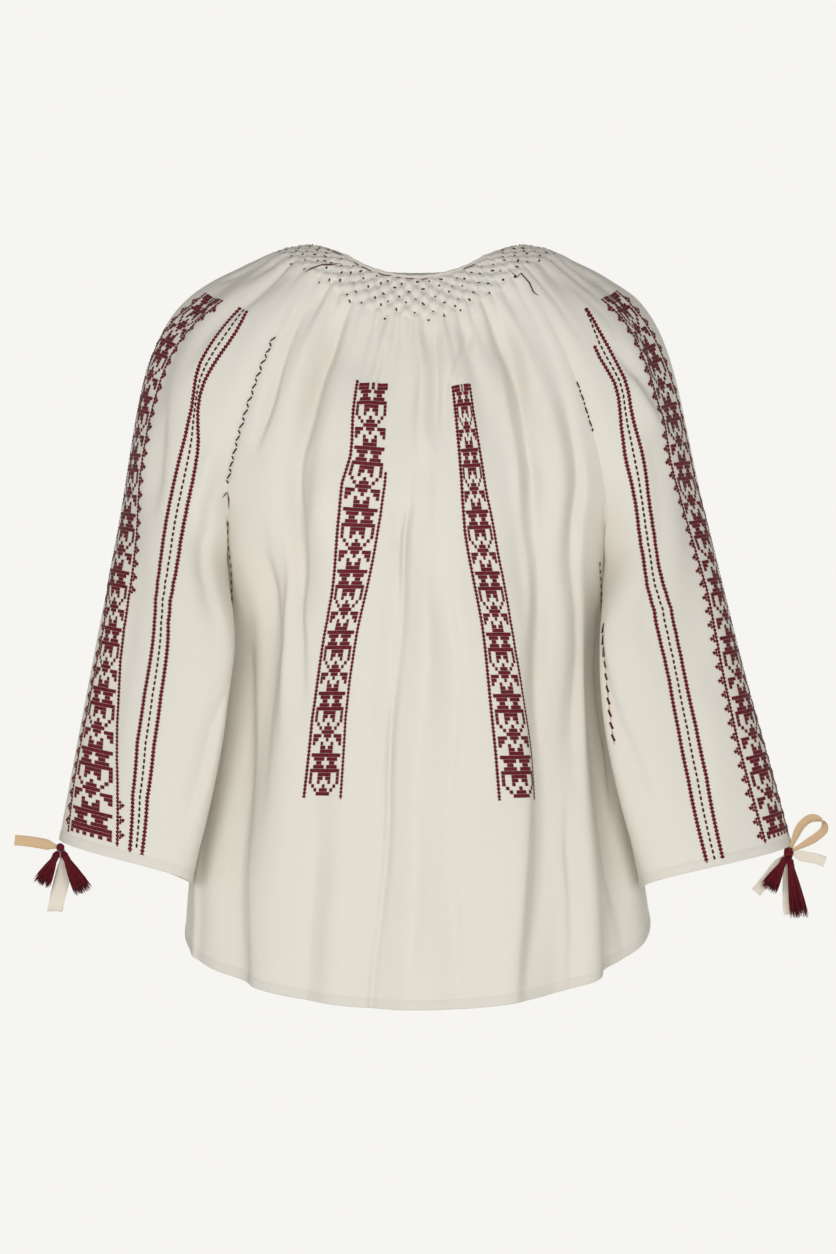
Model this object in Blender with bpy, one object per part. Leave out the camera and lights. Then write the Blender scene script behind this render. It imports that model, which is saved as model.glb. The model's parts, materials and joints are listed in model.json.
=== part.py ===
"""Peasant blouse of gathered cotton, filled out as it hangs from the wearer's neck.

Four panels run from one smocked neckline: front, back and two raglan sleeves. A gusset joins them
under each arm, a narrow binding closes the neck, and a tape tie with two tassels sits at each cuff.
Left and right are as seen from the front. X is across, -Y is the front, Z is up, and the origin is
the middle of the neck opening at the height of its two sides.
"""
import math

import bpy
import numpy as np

MM = 0.001
WALL = 2.0 * MM
GUSSET_WALL = 1.2 * MM
SEAM_GAP = 0.3 * MM

# Stations count the sections of a panel from the neck edge (0) down to the hem or cuff.
SMOCKING_END = 1
GUSSET_TOP = 7
GUSSET_TIP = 9
SLEEVE_END = 12
BODY_END = 13

# Columns across each panel, and how many of them one cell of the smocking takes.
COLUMNS = {"front": 36, "back": 24, "sleeve_right": 20, "sleeve_left": 20}
CELL_COLUMNS = {"front": 3, "back": 2, "sleeve_right": 2, "sleeve_left": 2}
SMOCKING_ROWS = 5
RAGLAN_ROWS = 10
GUSSET_ROWS = 6
CORNER_ROW = SMOCKING_ROWS + RAGLAN_ROWS
TIP_ROW = CORNER_ROW + GUSSET_ROWS
ARM_TURN = 0.05

PUFF_HEIGHT = 1.6 * MM
GATHER_DEPTH = 2.2 * MM

# A sleeve section is part of an ellipse between its two ends, in millimetres and degrees.
# outer: the point on the sleeve's top line. inner: the middle between the section's two ends.
# centre_y, half_depth: the section's place and reach from front to back.
# sweep: how far each end lies round from the top line; 180 closes the tube.
# wrap: how far the tube's inner side bends round the front of the body.
SLEEVE_FIELDS = ("outer_x", "outer_z", "inner_x", "inner_z", "centre_y", "half_depth", "sweep", "wrap")
SLEEVE_RIGHT = (
    (95, 0, 63.6, -14.5, 0, 80, 48, 0),        # neck edge
    (124, -5, 90, -27, 0, 86, 62, 0),          # lower edge of the smocking
    (158, -19, 108, -53, 0, 90, 73, 0),        # collar bone
    (191, -38, 125, -84, 0, 92, 84, 0),        # shoulder
    (219, -67, 140, -119, 0, 93, 92, 0),       # round of the shoulder
    (238, -120, 154, -160, -2, 91, 100, 0),    # upper arm
    (249, -172, 164, -196, -4, 87, 108, 0),    # level of the armpit
    (260, -222, 171, -232, -6, 81, 120, 0),    # front corner of the gusset
    (270, -274, 178, -289, -20, 74, 150, 0),  # middle of the gusset
    (281, -325, 174, -345, -38, 68, 180, 60),  # tip of the gusset
    (297, -395, 176, -420, -50, 62, 180, 65),  # elbow
    (317, -465, 186, -500, -56, 60, 180, 60),  # forearm
    (338, -546, 203, -585, -60, 59, 180, 35),  # cuff
)
SLEEVE_LEFT = (
    (95, 0, 63.6, -14.5, 0, 80, 48, 0),
    (126, -5, 90, -27, 0, 86, 62, 0),
    (160, -18, 108, -52, 0, 90, 73, 0),
    (196, -38, 124, -83, 0, 92, 84, 0),
    (227, -68, 139, -118, 0, 93, 92, 0),
    (247, -118, 153, -159, -2, 91, 100, 0),
    (257, -168, 163, -194, -4, 87, 108, 0),
    (265, -216, 171, -230, -6, 81, 120, 0),
    (273, -270, 178, -287, -20, 74, 150, 0),
    (283, -322, 173, -345, -38, 68, 180, 60),
    (296, -393, 176, -420, -50, 60, 180, 65),
    (309, -463, 185, -497, -56, 58, 180, 60),
    (323, -541, 202, -582, -60, 57, 180, 35),
)

# A body section runs between the panel's two side edges through the point in its middle.
# sweep: how far each side edge lies round from the middle; 90 is half an ellipse.
BODY_FIELDS = ("middle_y", "middle_z", "sweep")
FRONT = (
    (-80, -36, 42),      # neck edge
    (-99, -68, 44),      # lower edge of the smocking
    (-110, -98, 46),
    (-118, -128, 48),
    (-123, -158, 51),
    (-128, -192, 55),
    (-131, -222, 60),
    (-133, -252, 66),    # gusset's corner
    (-134, -300, 78),
    (-135, -350, 90),    # gusset's tip
    (-135, -425, 90),
    (-135, -505, 90),
    (-137, -595, 90),
    (-140, -688, 90),    # hem
)
BACK = (
    (80, -20, 42),
    (97, -50, 44),
    (107, -82, 46),
    (113, -114, 48),
    (117, -146, 51),
    (119, -182, 55),
    (121, -214, 60),
    (122, -246, 66),
    (122, -297, 78),
    (122, -350, 90),
    (121, -425, 90),
    (121, -505, 90),
    (123, -597, 90),
    (126, -692, 90),
)

# The body's side edges below the gusset's corner, for stations 8 to 13.
# opening: how far the front and back edges stand apart from the seam's depth, 0 once they meet.
SIDE_FIELDS = ("side_x", "side_y", "side_z", "opening")
SIDE_RIGHT = (
    (168, -1, -292, 46),
    (172, -2, -352, 0),
    (179, -4, -425, 0),
    (191, -5, -505, 0),
    (209, -5, -580, 0),
    (215, -5, -619, 0),
)
SIDE_LEFT = (
    (168, -1, -290, 46),
    (171, -2, -352, 0),
    (178, -4, -425, 0),
    (191, -5, -505, 0),
    (208, -5, -580, 0),
    (212, -5, -630, 0),
)

# The largest folds of each panel. top, bottom: where the fold lies across the panel, -1 to 1.
# first, last: the stations it runs between. width, depth: in millimetres; a negative depth is a trough.
FOLD_FIELDS = ("top", "bottom", "first", "last", "width", "depth")
FRONT_FOLDS = (
    (-0.02, -0.12, 6.0, 14.5, 20, -9.0),
    (-0.62, -0.47, 1.0, 9.5, 20, -7.0),
    (-0.42, -0.34, 2.5, 8.5, 26, 7.0),
    (-0.78, -0.58, 8.0, 14.5, 22, -10.0),
    (-0.32, -0.33, 8.5, 14.5, 20, -6.0),
    (0.62, 0.40, 1.0, 14.5, 21, -9.0),
    (0.78, 0.52, 4.0, 14.5, 22, 5.0),
    (0.86, 0.65, 8.0, 14.5, 22, -9.0),
    (0.16, 0.10, 1.5, 10.0, 24, 4.0),
    (0.30, 0.24, 9.0, 14.5, 24, 5.0),
)
BACK_FOLDS = (
    (0.04, 0.08, 4.0, 14.5, 24, -9.0),
    (-0.30, -0.36, 2.0, 14.5, 24, -9.0),
    (0.36, 0.40, 2.0, 14.5, 24, -9.0),
    (-0.62, -0.66, 5.0, 14.5, 24, -9.0),
    (0.66, 0.68, 5.0, 14.5, 24, -9.0),
)
SLEEVE_RIGHT_FOLDS = (
    (-0.46, -0.30, 1.0, 6.5, 20, -6.0),
    (-0.30, -0.36, 6.0, 12.5, 21, -6.0),
    (0.32, 0.40, 1.0, 8.0, 21, -6.0),
    (0.58, 0.56, 6.0, 12.5, 22, -6.0),
)
SLEEVE_LEFT_FOLDS = (
    (-0.44, -0.32, 1.0, 6.5, 20, -6.0),
    (-0.28, -0.32, 6.5, 12.5, 21, -6.0),
    (0.32, 0.42, 1.0, 8.0, 21, -6.0),
    (0.58, 0.56, 6.0, 12.5, 22, -6.0),
)

BINDING_WIDTH = 3.4 * MM
BINDING_HEIGHT = 4.0 * MM
BINDING_SEGMENTS = 52

KNOT_RADIUS = 5.5 * MM
KNOT_REACH = 14 * MM
TAPE_THICKNESS = 1.2 * MM
TASSEL_TOP = 2.2 * MM
TASSEL_NECK = 4.4 * MM
TASSEL_SPLAY = 6.0 * MM
TASSEL_HEAD = 8.0 * MM
TASSEL_LEAN = -0.30
STRANDS_EACH_WAY = 4
STRAND_ROOT = 0.66

# Tapes at a cuff: name, path as (x, z, y) millimetres from the knot, width, and the way it lies broad.
ACROSS = (1.0, 0.0, 0.0)
UPRIGHT = (0.0, 0.0, 1.0)
DEEP = (0.0, 1.0, 0.0)
TAPES_LEFT = (
    ("end", ((-7, 1, 1), (-18, 4, 1), (-32, 5, -1), (-46, 3, -2)), 9, UPRIGHT),
    ("loop", ((0, -7, 5), (-1, -14, 8), (-4, -28, 7), (-7, -45, 6), (-9, -56, 7), (-10, -60, 10),
              (-9, -56, 13), (-7, -42, 15), (-3, -24, 15), (0, -11, 13), (1, -5, 8.5)), 11, ACROSS),
)
TAPES_RIGHT = (
    ("end", ((7, -3, 0), (16, -6, 0), (26, -8, -1), (37, -12, 0)), 7, UPRIGHT),
    ("loop", ((3, 6, 0), (6, 14, 0), (12, 25, 0), (21, 31, 1), (30, 28, 2), (32, 21, 2), (25, 14, 2),
              (15, 8, 1), (6, 3.2, 0)), 5, DEEP),
    ("back_end", ((-6, -6, 5.3), (-11, -13, 6), (-20, -27, 6), (-31, -40, 5)), 8, ACROSS),
    ("front_end", ((5, -7, 8), (6, -14, 10), (6, -26, 10), (5, -44, 9), (3, -57, 9)), 7, ACROSS),
)
TASSELS_LEFT = (("outer", -0.50, -0.80, 34.0), ("inner", 0.52, -0.90, 44.0))
TASSELS_RIGHT = (("inner", -0.62, -0.90, 36.0), ("outer", 0.24, -1.0, 58.0))

COTTON = ("cotton_voile", (0.80, 0.77, 0.68), 0.9)
RED_COTTON = ("red_cotton_thread", (0.16, 0.012, 0.03), 0.7)
TAPE_COTTON = ("cotton_tape", (0.78, 0.72, 0.60), 0.85)


def clear_scene():
    for old in list(bpy.data.objects):
        bpy.data.objects.remove(old, do_unlink=True)


def along(values, station):
    """A smooth curve through one column of a table, which never overshoots its rows."""
    values = np.asarray(values, float)
    station = np.asarray(station, float)
    steps = np.diff(values)
    slopes = np.zeros_like(values)
    before, after = steps[:-1], steps[1:]
    together = before * after > 0
    total = np.where(together, before + after, 1.0)
    slopes[1:-1] = np.where(together, 2 * before * after / total, 0.0)
    slopes[0], slopes[-1] = steps[0], steps[-1]
    row = np.clip(np.floor(station).astype(int), 0, len(steps) - 1)
    t = station - row
    return (
        values[row] * (1 + 2 * t) * (1 - t) ** 2
        + slopes[row] * t * (1 - t) ** 2
        + values[row + 1] * t * t * (3 - 2 * t)
        + slopes[row + 1] * t * t * (t - 1)
    )


def fade(value, start, end):
    """0 at start, 1 at end, smooth between."""
    t = np.clip((value - start) / (end - start), 0, 1)
    return t * t * (3 - 2 * t)


def read(table, fields, name, station):
    return along([row[fields.index(name)] for row in table], station)


def sleeve_surface(table, side, across, station):
    """Points of a sleeve. across is -1 at its front edge and 1 at its back edge; side is 1 or -1 in X."""
    field = {name: read(table, SLEEVE_FIELDS, name, station) for name in SLEEVE_FIELDS}
    sweep = np.radians(field["sweep"])
    share = (np.cos(across * sweep) - np.cos(sweep)) / (1 - np.cos(sweep))
    reach = np.sin(across * sweep)
    turned = ARM_TURN * field["half_depth"] * reach * (1 - share) * fade(station, GUSSET_TOP, GUSSET_TOP + 1)
    x = field["inner_x"] + (field["outer_x"] - field["inner_x"]) * share + turned
    x = x - field["wrap"] * (1 - share) * np.minimum(reach, 0) ** 2
    z = field["inner_z"] + (field["outer_z"] - field["inner_z"]) * share
    y = field["centre_y"] + field["half_depth"] * reach
    return np.stack([side * x, y, z], -1) * MM


def side_edge(sleeve, sides, side, end, station):
    """The body's side edge: the raglan seam down to the gusset, then the gusset's and the side seam's line.
    end is -1 for the front panel and 1 for the back panel."""
    corner = sleeve_surface(sleeve, side, float(end), np.float64(GUSSET_TOP)) / MM
    table = [(side * corner[0], 0.0, corner[2], abs(corner[1]))]
    table += [(x, y, z, opening) for x, y, z, opening in sides]
    below = np.clip(station - GUSSET_TOP, 0, None)
    x, y, z, opening = (along([row[i] for row in table], below) for i in range(4))
    turned = ARM_TURN * opening * end * fade(station, GUSSET_TOP, GUSSET_TOP + 1)
    lower = np.stack([side * (x + turned), y + end * opening, z], -1) * MM
    upper = sleeve_surface(sleeve, side, float(end), np.clip(station, 0, GUSSET_TOP))
    return np.where((station <= GUSSET_TOP)[..., None], upper, lower)


def body_surface(table, end, across, station):
    """Points of the front (end -1) or back (end 1) panel, across from -1 at the left to 1 at the right."""
    sweep = np.radians(read(table, BODY_FIELDS, "sweep", station))
    middle_y = read(table, BODY_FIELDS, "middle_y", station) * MM
    middle_z = read(table, BODY_FIELDS, "middle_z", station) * MM
    left = side_edge(SLEEVE_LEFT, SIDE_LEFT, -1, end, station)
    right = side_edge(SLEEVE_RIGHT, SIDE_RIGHT, 1, end, station)
    round_to = np.sin(across * sweep) / np.sin(sweep)
    share = (np.cos(across * sweep) - np.cos(sweep)) / (1 - np.cos(sweep))
    ends = left + (right - left) * ((round_to + 1) / 2)[..., None]
    y = ends[..., 1] + (middle_y - ends[..., 1]) * share
    z = ends[..., 2] + (middle_z - ends[..., 2]) * share
    return np.stack([ends[..., 0], y, z], -1)


def panel_rows(last):
    """The stations of a panel's rows. Rows above the gusset's tip are the same on every panel."""
    return np.concatenate([
        np.linspace(0, SMOCKING_END, SMOCKING_ROWS, endpoint=False),
        np.linspace(SMOCKING_END, GUSSET_TOP, RAGLAN_ROWS, endpoint=False),
        np.linspace(GUSSET_TOP, GUSSET_TIP, GUSSET_ROWS, endpoint=False),
        np.linspace(GUSSET_TIP, last, 2 * (last - GUSSET_TIP) + 1),
    ])


def fold_heights(folds, grid, across, station):
    """How far the folds and gathers lift each point of a panel, in metres."""
    half_length = np.linalg.norm(np.diff(grid, axis=1), axis=2).sum(1)[:, None] / 2
    height = np.zeros(across.shape)
    for fold in folds:
        top, bottom, first, last, width, depth = fold
        run = np.clip((station - first) / (min(last, BODY_END) - first), 0, 1)
        distance = (across - (top + (bottom - top) * run)) * half_length
        window = fade(station, first, first + 1.5) * (1 - fade(station, last - 1.5, last))
        height += depth * MM * window * np.exp(-((distance / (width * MM)) ** 2))
    waves = grid.shape[1] // 8
    window = fade(station, SMOCKING_END, SMOCKING_END + 1) * (1 - fade(station, 3.5, 7.0))
    height += GATHER_DEPTH * window * np.cos(2 * math.pi * waves * across)
    return height * edge_room(across)


def edge_room(across):
    """1 inside a panel and 0 at its side edges, so that neighbours keep one seam line."""
    return fade(1 - np.abs(across), 0, 0.22)


def smocking_heights(across, station, cell_columns):
    """The honeycomb of the smocking: puffs that change places row by row, then run out into gathers."""
    rows, columns = np.indices(across.shape)
    rows = np.minimum(rows, SMOCKING_ROWS)
    puff = 0.5 + 0.5 * np.cos(2 * math.pi * (columns / cell_columns + rows / 2))
    below = np.clip(1 - (station - SMOCKING_END) / 1.6, 0, 1)
    return PUFF_HEIGHT * puff * below * (station > 0) * (np.abs(across) < 0.999)


def normals_of(grid):
    """The outward direction at each point of a panel whose columns run anticlockwise seen from above."""
    cells = np.cross(grid[1:, 1:] - grid[:-1, :-1], grid[:-1, 1:] - grid[1:, :-1])
    cells /= np.linalg.norm(cells, axis=2, keepdims=True)
    joined = np.zeros_like(grid)
    for rows in (slice(None, -1), slice(1, None)):
        for columns in (slice(None, -1), slice(1, None)):
            joined[rows, columns] += cells
    return joined / np.linalg.norm(joined, axis=2, keepdims=True)


def sewn_panels():
    """Each panel's surface with its folds, its relief and its outward directions, as rows by columns."""
    panels = {}

    def add(name, surface, last, folds, turned):
        station, across = np.meshgrid(panel_rows(last), np.linspace(-1, 1, COLUMNS[name] + 1), indexing="ij")
        across = -across if turned else across
        plain = surface(across, station)
        lift = fold_heights(folds, plain, across, station)
        grid = plain + normals_of(plain) * lift[..., None]
        panels[name] = {"grid": grid, "relief": smocking_heights(across, station, CELL_COLUMNS[name])}

    add("front", lambda a, v: body_surface(FRONT, -1, a, v), BODY_END, FRONT_FOLDS, False)
    add("back", lambda a, v: body_surface(BACK, 1, a, v), BODY_END, BACK_FOLDS, True)
    add("sleeve_right", lambda a, v: sleeve_surface(SLEEVE_RIGHT, 1, a, v), SLEEVE_END, SLEEVE_RIGHT_FOLDS, False)
    add("sleeve_left", lambda a, v: sleeve_surface(SLEEVE_LEFT, -1, a, v), SLEEVE_END, SLEEVE_LEFT_FOLDS, True)
    for side in ("right", "left"):
        panels["gusset_" + side] = gusset_panel(panels, side)
    for panel in panels.values():
        panel["normal"] = normals_of(panel["grid"])
        panel["shift"] = np.zeros_like(panel["grid"])
    return panels


def gusset_neighbours(side):
    """The edges round a gusset as (front panel, column, back panel, column), down its two ways from the front."""
    body = ("front", -1, "back", 0) if side == "right" else ("front", 0, "back", -1)
    sleeve = "sleeve_" + side
    arm = (sleeve, 0, sleeve, -1) if side == "right" else (sleeve, -1, sleeve, 0)
    return (body, arm) if side == "right" else (arm, body)


def gusset_panel(panels, side):
    """A four-sided patch hung between the sleeve and the body, a saddle from its front to its back corner."""
    first, second = gusset_neighbours(side)
    span = slice(CORNER_ROW, TIP_ROW + 1)
    down_first, up_first = (panels[first[k]]["grid"][span, first[k + 1]] for k in (0, 2))
    down_second, up_second = (panels[second[k]]["grid"][span, second[k + 1]] for k in (0, 2))
    up_first, up_second = up_first[::-1], up_second[::-1]
    t = np.linspace(0, 1, GUSSET_ROWS + 1)[:, None, None]
    u = np.linspace(0, 1, GUSSET_ROWS + 1)[None, :, None]
    grid = (1 - u) * down_first[:, None] + u * up_second[:, None]
    grid = grid + (1 - t) * down_second[None] + t * up_first[None]
    grid = grid - (1 - t) * ((1 - u) * down_first[0] + u * down_second[-1])
    grid = grid - t * ((1 - u) * down_first[-1] + u * up_first[-1])
    return {"grid": grid, "relief": np.zeros(grid.shape[:2])}


def share_normals(panels):
    """Gives points that lie together on neighbouring panels one outward direction."""
    together = {}
    for panel in panels.values():
        for at in np.ndindex(panel["grid"].shape[:2]):
            key = tuple(np.round(panel["grid"][at] / MM, 3))
            together.setdefault(key, []).append((panel, at))
    for group in together.values():
        joined = sum(panel["normal"][at] for panel, at in group)
        for panel, at in group:
            panel["normal"][at] = joined / np.linalg.norm(joined)


def part_edges(panels, one, other):
    """Moves two edges that lie together half a seam gap apart each, along the cloth."""
    (name, rows, columns, inner_rows, inner_columns) = one
    line = panels[name]["grid"][rows, columns]
    inward = panels[name]["grid"][inner_rows, inner_columns] - line
    away = np.cross(np.gradient(line, axis=0), panels[name]["normal"][rows, columns])
    away /= np.linalg.norm(away, axis=1, keepdims=True)
    away *= np.sign((away * inward).sum(1, keepdims=True))
    panels[name]["shift"][rows, columns] += away * SEAM_GAP / 2
    panels[other[0]]["shift"][other[1], other[2]] -= away * SEAM_GAP / 2


def column_edge(name, rows, column):
    return name, rows, column, rows, 1 if column == 0 else -2


def sew_everything(panels):
    """The blouse's seams, edge by edge."""
    share_normals(panels)
    raglan = np.arange(0, CORNER_ROW + 1)
    beside = np.arange(CORNER_ROW, TIP_ROW + 1)
    patch = np.arange(0, GUSSET_ROWS + 1)
    for side in ("right", "left"):
        body, arm = gusset_neighbours(side)[:: 1 if side == "right" else -1]
        for k in (0, 2):
            part_edges(panels, column_edge(body[k], raglan, body[k + 1]), (arm[k], raglan, arm[k + 1]))
        under_body = np.arange(TIP_ROW, len(panels["front"]["grid"]))
        under_arm = np.arange(TIP_ROW, len(panels[arm[0]]["grid"]))
        part_edges(panels, column_edge(body[0], under_body, body[1]), (body[2], under_body, body[3]))
        part_edges(panels, column_edge(arm[0], under_arm, arm[1]), (arm[2], under_arm, arm[3]))
        first, second = gusset_neighbours(side)
        gusset = "gusset_" + side
        sides = (
            ((first[0], first[1]), patch, 0),
            ((first[2], first[3]), GUSSET_ROWS, patch[::-1]),
            ((second[0], second[1]), 0, patch),
            ((second[2], second[3]), patch[::-1], GUSSET_ROWS),
        )
        for (name, column), rows, columns in sides:
            part_edges(panels, column_edge(name, beside, column), (gusset, rows, columns))


def material(name, colour, roughness):
    found = bpy.data.materials.get(name)
    if found:
        return found
    made = bpy.data.materials.new(name)
    made.use_nodes = True
    shader = made.node_tree.nodes["Principled BSDF"]
    shader.inputs["Base Color"].default_value = (*colour, 1.0)
    shader.inputs["Roughness"].default_value = roughness
    shader.inputs["Metallic"].default_value = 0.0
    return made


def solid(name, points, faces, finish, smooth=True):
    mesh = bpy.data.meshes.new(name)
    mesh.from_pydata([tuple(p) for p in points], [], faces)
    mesh.validate()
    if smooth:
        mesh.shade_smooth()
        mesh.set_sharp_from_angle(angle=math.radians(50))
    mesh.materials.append(material(*finish))
    made = bpy.data.objects.new(name, mesh)
    bpy.context.scene.collection.objects.link(made)
    return made


def rim(points, line, inner, turned):
    """Triangles that close a wall along one edge, split alike on both sides of a seam."""
    faces = []
    for one, other in zip(line, line[1:]):
        if points[one][2] > points[other][2]:
            pair = [[one, other, other + inner], [one, other + inner, one + inner]]
        else:
            pair = [[one, other, one + inner], [other, other + inner, one + inner]]
        faces += [face[::-1] for face in pair] if turned else pair
    return faces


def cloth_wall(name, panel):
    """A panel's wall: its outer grid with the relief, and a plain inside one wall thickness in."""
    wall = GUSSET_WALL if name.startswith("gusset") else WALL
    base = panel["grid"] + panel["shift"]
    outer = base + panel["normal"] * panel["relief"][..., None]
    inner = base - panel["normal"] * wall
    rows, columns = base.shape[:2]
    points = np.concatenate([outer.reshape(-1, 3), inner.reshape(-1, 3)])

    def at(row, column, layer):
        return layer * rows * columns + row * columns + column

    faces = []
    for row in range(rows - 1):
        for column in range(columns - 1):
            a, b, c, d = at(row, column, 0), at(row + 1, column, 0), at(row + 1, column + 1, 0), at(row, column + 1, 0)
            if np.linalg.norm(points[a] - points[c]) < np.linalg.norm(points[b] - points[d]):
                halves = ((a, b, c), (a, c, d))
            else:
                halves = ((a, b, d), (b, c, d))
            faces += [list(half) for half in halves]
            faces += [[index + rows * columns for index in reversed(half)] for half in halves]
    for column, turned in ((0, True), (columns - 1, False)):
        line = [at(row, column, 0) for row in range(rows)]
        faces += rim(points, line, rows * columns, turned)
    for row, turned in ((0, False), (rows - 1, True)):
        line = [at(row, column, 0) for column in range(columns)]
        faces += rim(points, line, rows * columns, turned)
    return solid(name, points, faces, COTTON)


def neck_ring(panels):
    """The neck edge all round, as points and as directions out of the cloth and up along it."""
    points, outward, up = [], [], []
    for name in ("front", "sleeve_right", "back", "sleeve_left"):
        grid, normal = panels[name]["grid"], panels[name]["normal"]
        rise = grid[0] - grid[1]
        points.append(grid[0][:-1])
        outward.append(normal[0][:-1])
        up.append((rise / np.linalg.norm(rise, axis=1, keepdims=True))[:-1])
    return np.concatenate(points), np.concatenate(outward), np.concatenate(up)


def neck_binding(panels):
    """A narrow folded strip over the raw neck edge, one closed ring."""
    points, outward, up = neck_ring(panels)
    pick = np.linspace(0, len(points), BINDING_SEGMENTS, endpoint=False).astype(int)
    points, outward, up = points[pick], outward[pick], up[pick]
    middle = points - outward * WALL / 2
    low, high = SEAM_GAP + 0.4 * MM, SEAM_GAP + 0.4 * MM + BINDING_HEIGHT
    half = BINDING_WIDTH / 2
    section = ((half, low), (half, high - half * 0.6), (0.0, high), (-half, high - half * 0.6), (-half, low))
    rings = [middle + outward * out + up * rise for out, rise in section]
    count, around = len(section), len(points)
    flat = np.stack(rings, 1).reshape(-1, 3)
    faces = []
    for i in range(around):
        for j in range(count):
            here, there = i * count, ((i + 1) % around) * count
            faces.append([here + j, here + (j + 1) % count, there + (j + 1) % count, there + j])
    solid("neck_binding", flat, [face[::-1] for face in faces], COTTON)


def tape(name, knot_at, path, width, broad):
    """A flat cotton tape. path holds (x, z, y) in millimetres from the knot's middle, and starts at the knot."""
    line = np.array([(x, y, z) for x, z, y in path], float) * MM
    for end in (0, -1):
        reach = np.linalg.norm(line[end])
        if reach < KNOT_REACH:
            line[end] *= (KNOT_RADIUS + SEAM_GAP) / reach
    line += knot_at
    run = np.gradient(line, axis=0)
    run /= np.linalg.norm(run, axis=1, keepdims=True)
    side = np.array(broad, float) - run * (run @ np.array(broad, float))[:, None]
    side /= np.linalg.norm(side, axis=1, keepdims=True)
    thin = np.cross(run, side)
    corners = ((1, 1), (-1, 1), (-1, -1), (1, -1))
    rings = [line + side * a * width * MM / 2 + thin * b * TAPE_THICKNESS / 2 for a, b in corners]
    points = np.stack(rings, 1).reshape(-1, 3)
    last = 4 * len(line) - 4
    faces = [[3, 2, 1, 0], [last, last + 1, last + 2, last + 3]]
    for i in range(len(line) - 1):
        for j in range(4):
            here, after = 4 * i + j, 4 * i + (j + 1) % 4
            faces.append([here, after, after + 4, here + 4])
    solid(name, points, faces, TAPE_COTTON)


def knot(name, centre):
    """The knotted end of the cuff's cord, a small ball."""
    rings, sides = 6, 10
    points = [centre + np.array((0, 0, KNOT_RADIUS))]
    for i in range(1, rings):
        polar = math.pi * i / rings
        for j in range(sides):
            turn = 2 * math.pi * j / sides
            reach = math.sin(polar)
            ball = np.array((reach * math.cos(turn), reach * math.sin(turn), math.cos(polar)))
            points.append(centre + ball * KNOT_RADIUS)
    points.append(centre - np.array((0, 0, KNOT_RADIUS)))
    last, lowest = len(points) - 1, 1 + (rings - 2) * sides
    faces = [[0, 1 + j, 1 + (j + 1) % sides] for j in range(sides)]
    faces += [[last, lowest + (j + 1) % sides, lowest + j] for j in range(sides)]
    for i in range(rings - 2):
        for j in range(sides):
            a, b = 1 + i * sides + j, 1 + i * sides + (j + 1) % sides
            faces.append([a, a + sides, b + sides, b])
    solid(name, points, faces, RED_COTTON)


def tassel(name, top, direction, length):
    """A tassel: a short tapered head whose foot divides into square strands that splay apart."""
    axis = np.array(direction, float)
    depth = np.array((0.0, 1.0, 0.0)) - axis * axis[1]
    depth /= np.linalg.norm(depth)
    across = np.cross(depth, axis)
    n = STRANDS_EACH_WAY
    foot = top + axis * TASSEL_HEAD
    points = [top + (across * a + depth * b) * TASSEL_TOP for a, b in ((-1, -1), (1, -1), (1, 1), (-1, 1))]
    steps = np.linspace(-1, 1, n + 1)
    lattice = {}
    for i, a in enumerate(steps):
        for j, b in enumerate(steps):
            lattice[i, j] = len(points)
            points.append(foot + (across * a + depth * b) * TASSEL_NECK)
    sides = (
        (0, 1, [lattice[i, 0] for i in range(n + 1)]),
        (1, 2, [lattice[n, j] for j in range(n + 1)]),
        (2, 3, [lattice[n - i, n] for i in range(n + 1)]),
        (3, 0, [lattice[0, n - j] for j in range(n + 1)]),
    )
    faces = [[3, 2, 1, 0]]
    for left, right, low in sides:
        half = n // 2
        faces += [[low[k + 1], low[k], left] for k in range(half)]
        faces += [[low[k + 1], low[k], right] for k in range(half, n)]
        faces.append([right, low[half], left])
    for i in range(n):
        for j in range(n):
            cell = [lattice[i, j], lattice[i + 1, j], lattice[i + 1, j + 1], lattice[i, j + 1]]
            corners = np.array([points[k] for k in cell])
            spread = corners - corners.mean(0)
            a, b = (steps[i] + steps[i + 1]) / 2, (steps[j] + steps[j + 1]) / 2
            reach = length * (1 + 0.07 * math.cos(2.1 * i + 3.7 * j)) - TASSEL_HEAD
            end = foot + axis * reach + (across * a + depth * b * 0.7) * TASSEL_SPLAY
            root = len(points)
            points += list(corners.mean(0) + spread * STRAND_ROOT)
            points += list(end + spread * STRAND_ROOT)
            for k in range(4):
                after = (k + 1) % 4
                faces.append([cell[k], cell[after], root + after, root + k])
                faces.append([root + k, root + after, root + 4 + after, root + 4 + k])
            faces.append([root + 4, root + 5, root + 6, root + 7])
    solid(name, points, faces, RED_COTTON, smooth=False)


def cuff_tie(panels, side, tapes, tassels):
    """The tie at a cuff: a knot under the hem's outer corner, its tapes, and two tassels."""
    sleeve = panels["sleeve_" + side]
    middle = COLUMNS["sleeve_" + side] // 2
    column = middle - 1 if side == "right" else middle + 1
    hem = sleeve["grid"][-1, column]
    down = hem - sleeve["grid"][-2, column]
    down /= np.linalg.norm(down)
    knot_at = hem - sleeve["normal"][-1, column] * WALL / 2 + down * (KNOT_RADIUS + SEAM_GAP)
    knot("tie_knot_" + side, knot_at)
    for name, path, width, broad in tapes:
        tape(f"tie_{name}_{side}", knot_at, path, width, broad)
    for name, x, z, length in tassels:
        direction = np.array((x, TASSEL_LEAN, z))
        direction /= np.linalg.norm(direction)
        top = knot_at + direction * (KNOT_RADIUS + SEAM_GAP)
        tassel(f"tassel_{name}_{side}", top, direction, length * MM)


def build():
    clear_scene()
    panels = sewn_panels()
    sew_everything(panels)
    for name, panel in panels.items():
        cloth_wall(name, panel)
    neck_binding(panels)
    cuff_tie(panels, "left", TAPES_LEFT, TASSELS_LEFT)
    cuff_tie(panels, "right", TAPES_RIGHT, TASSELS_RIGHT)


build()
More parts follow.
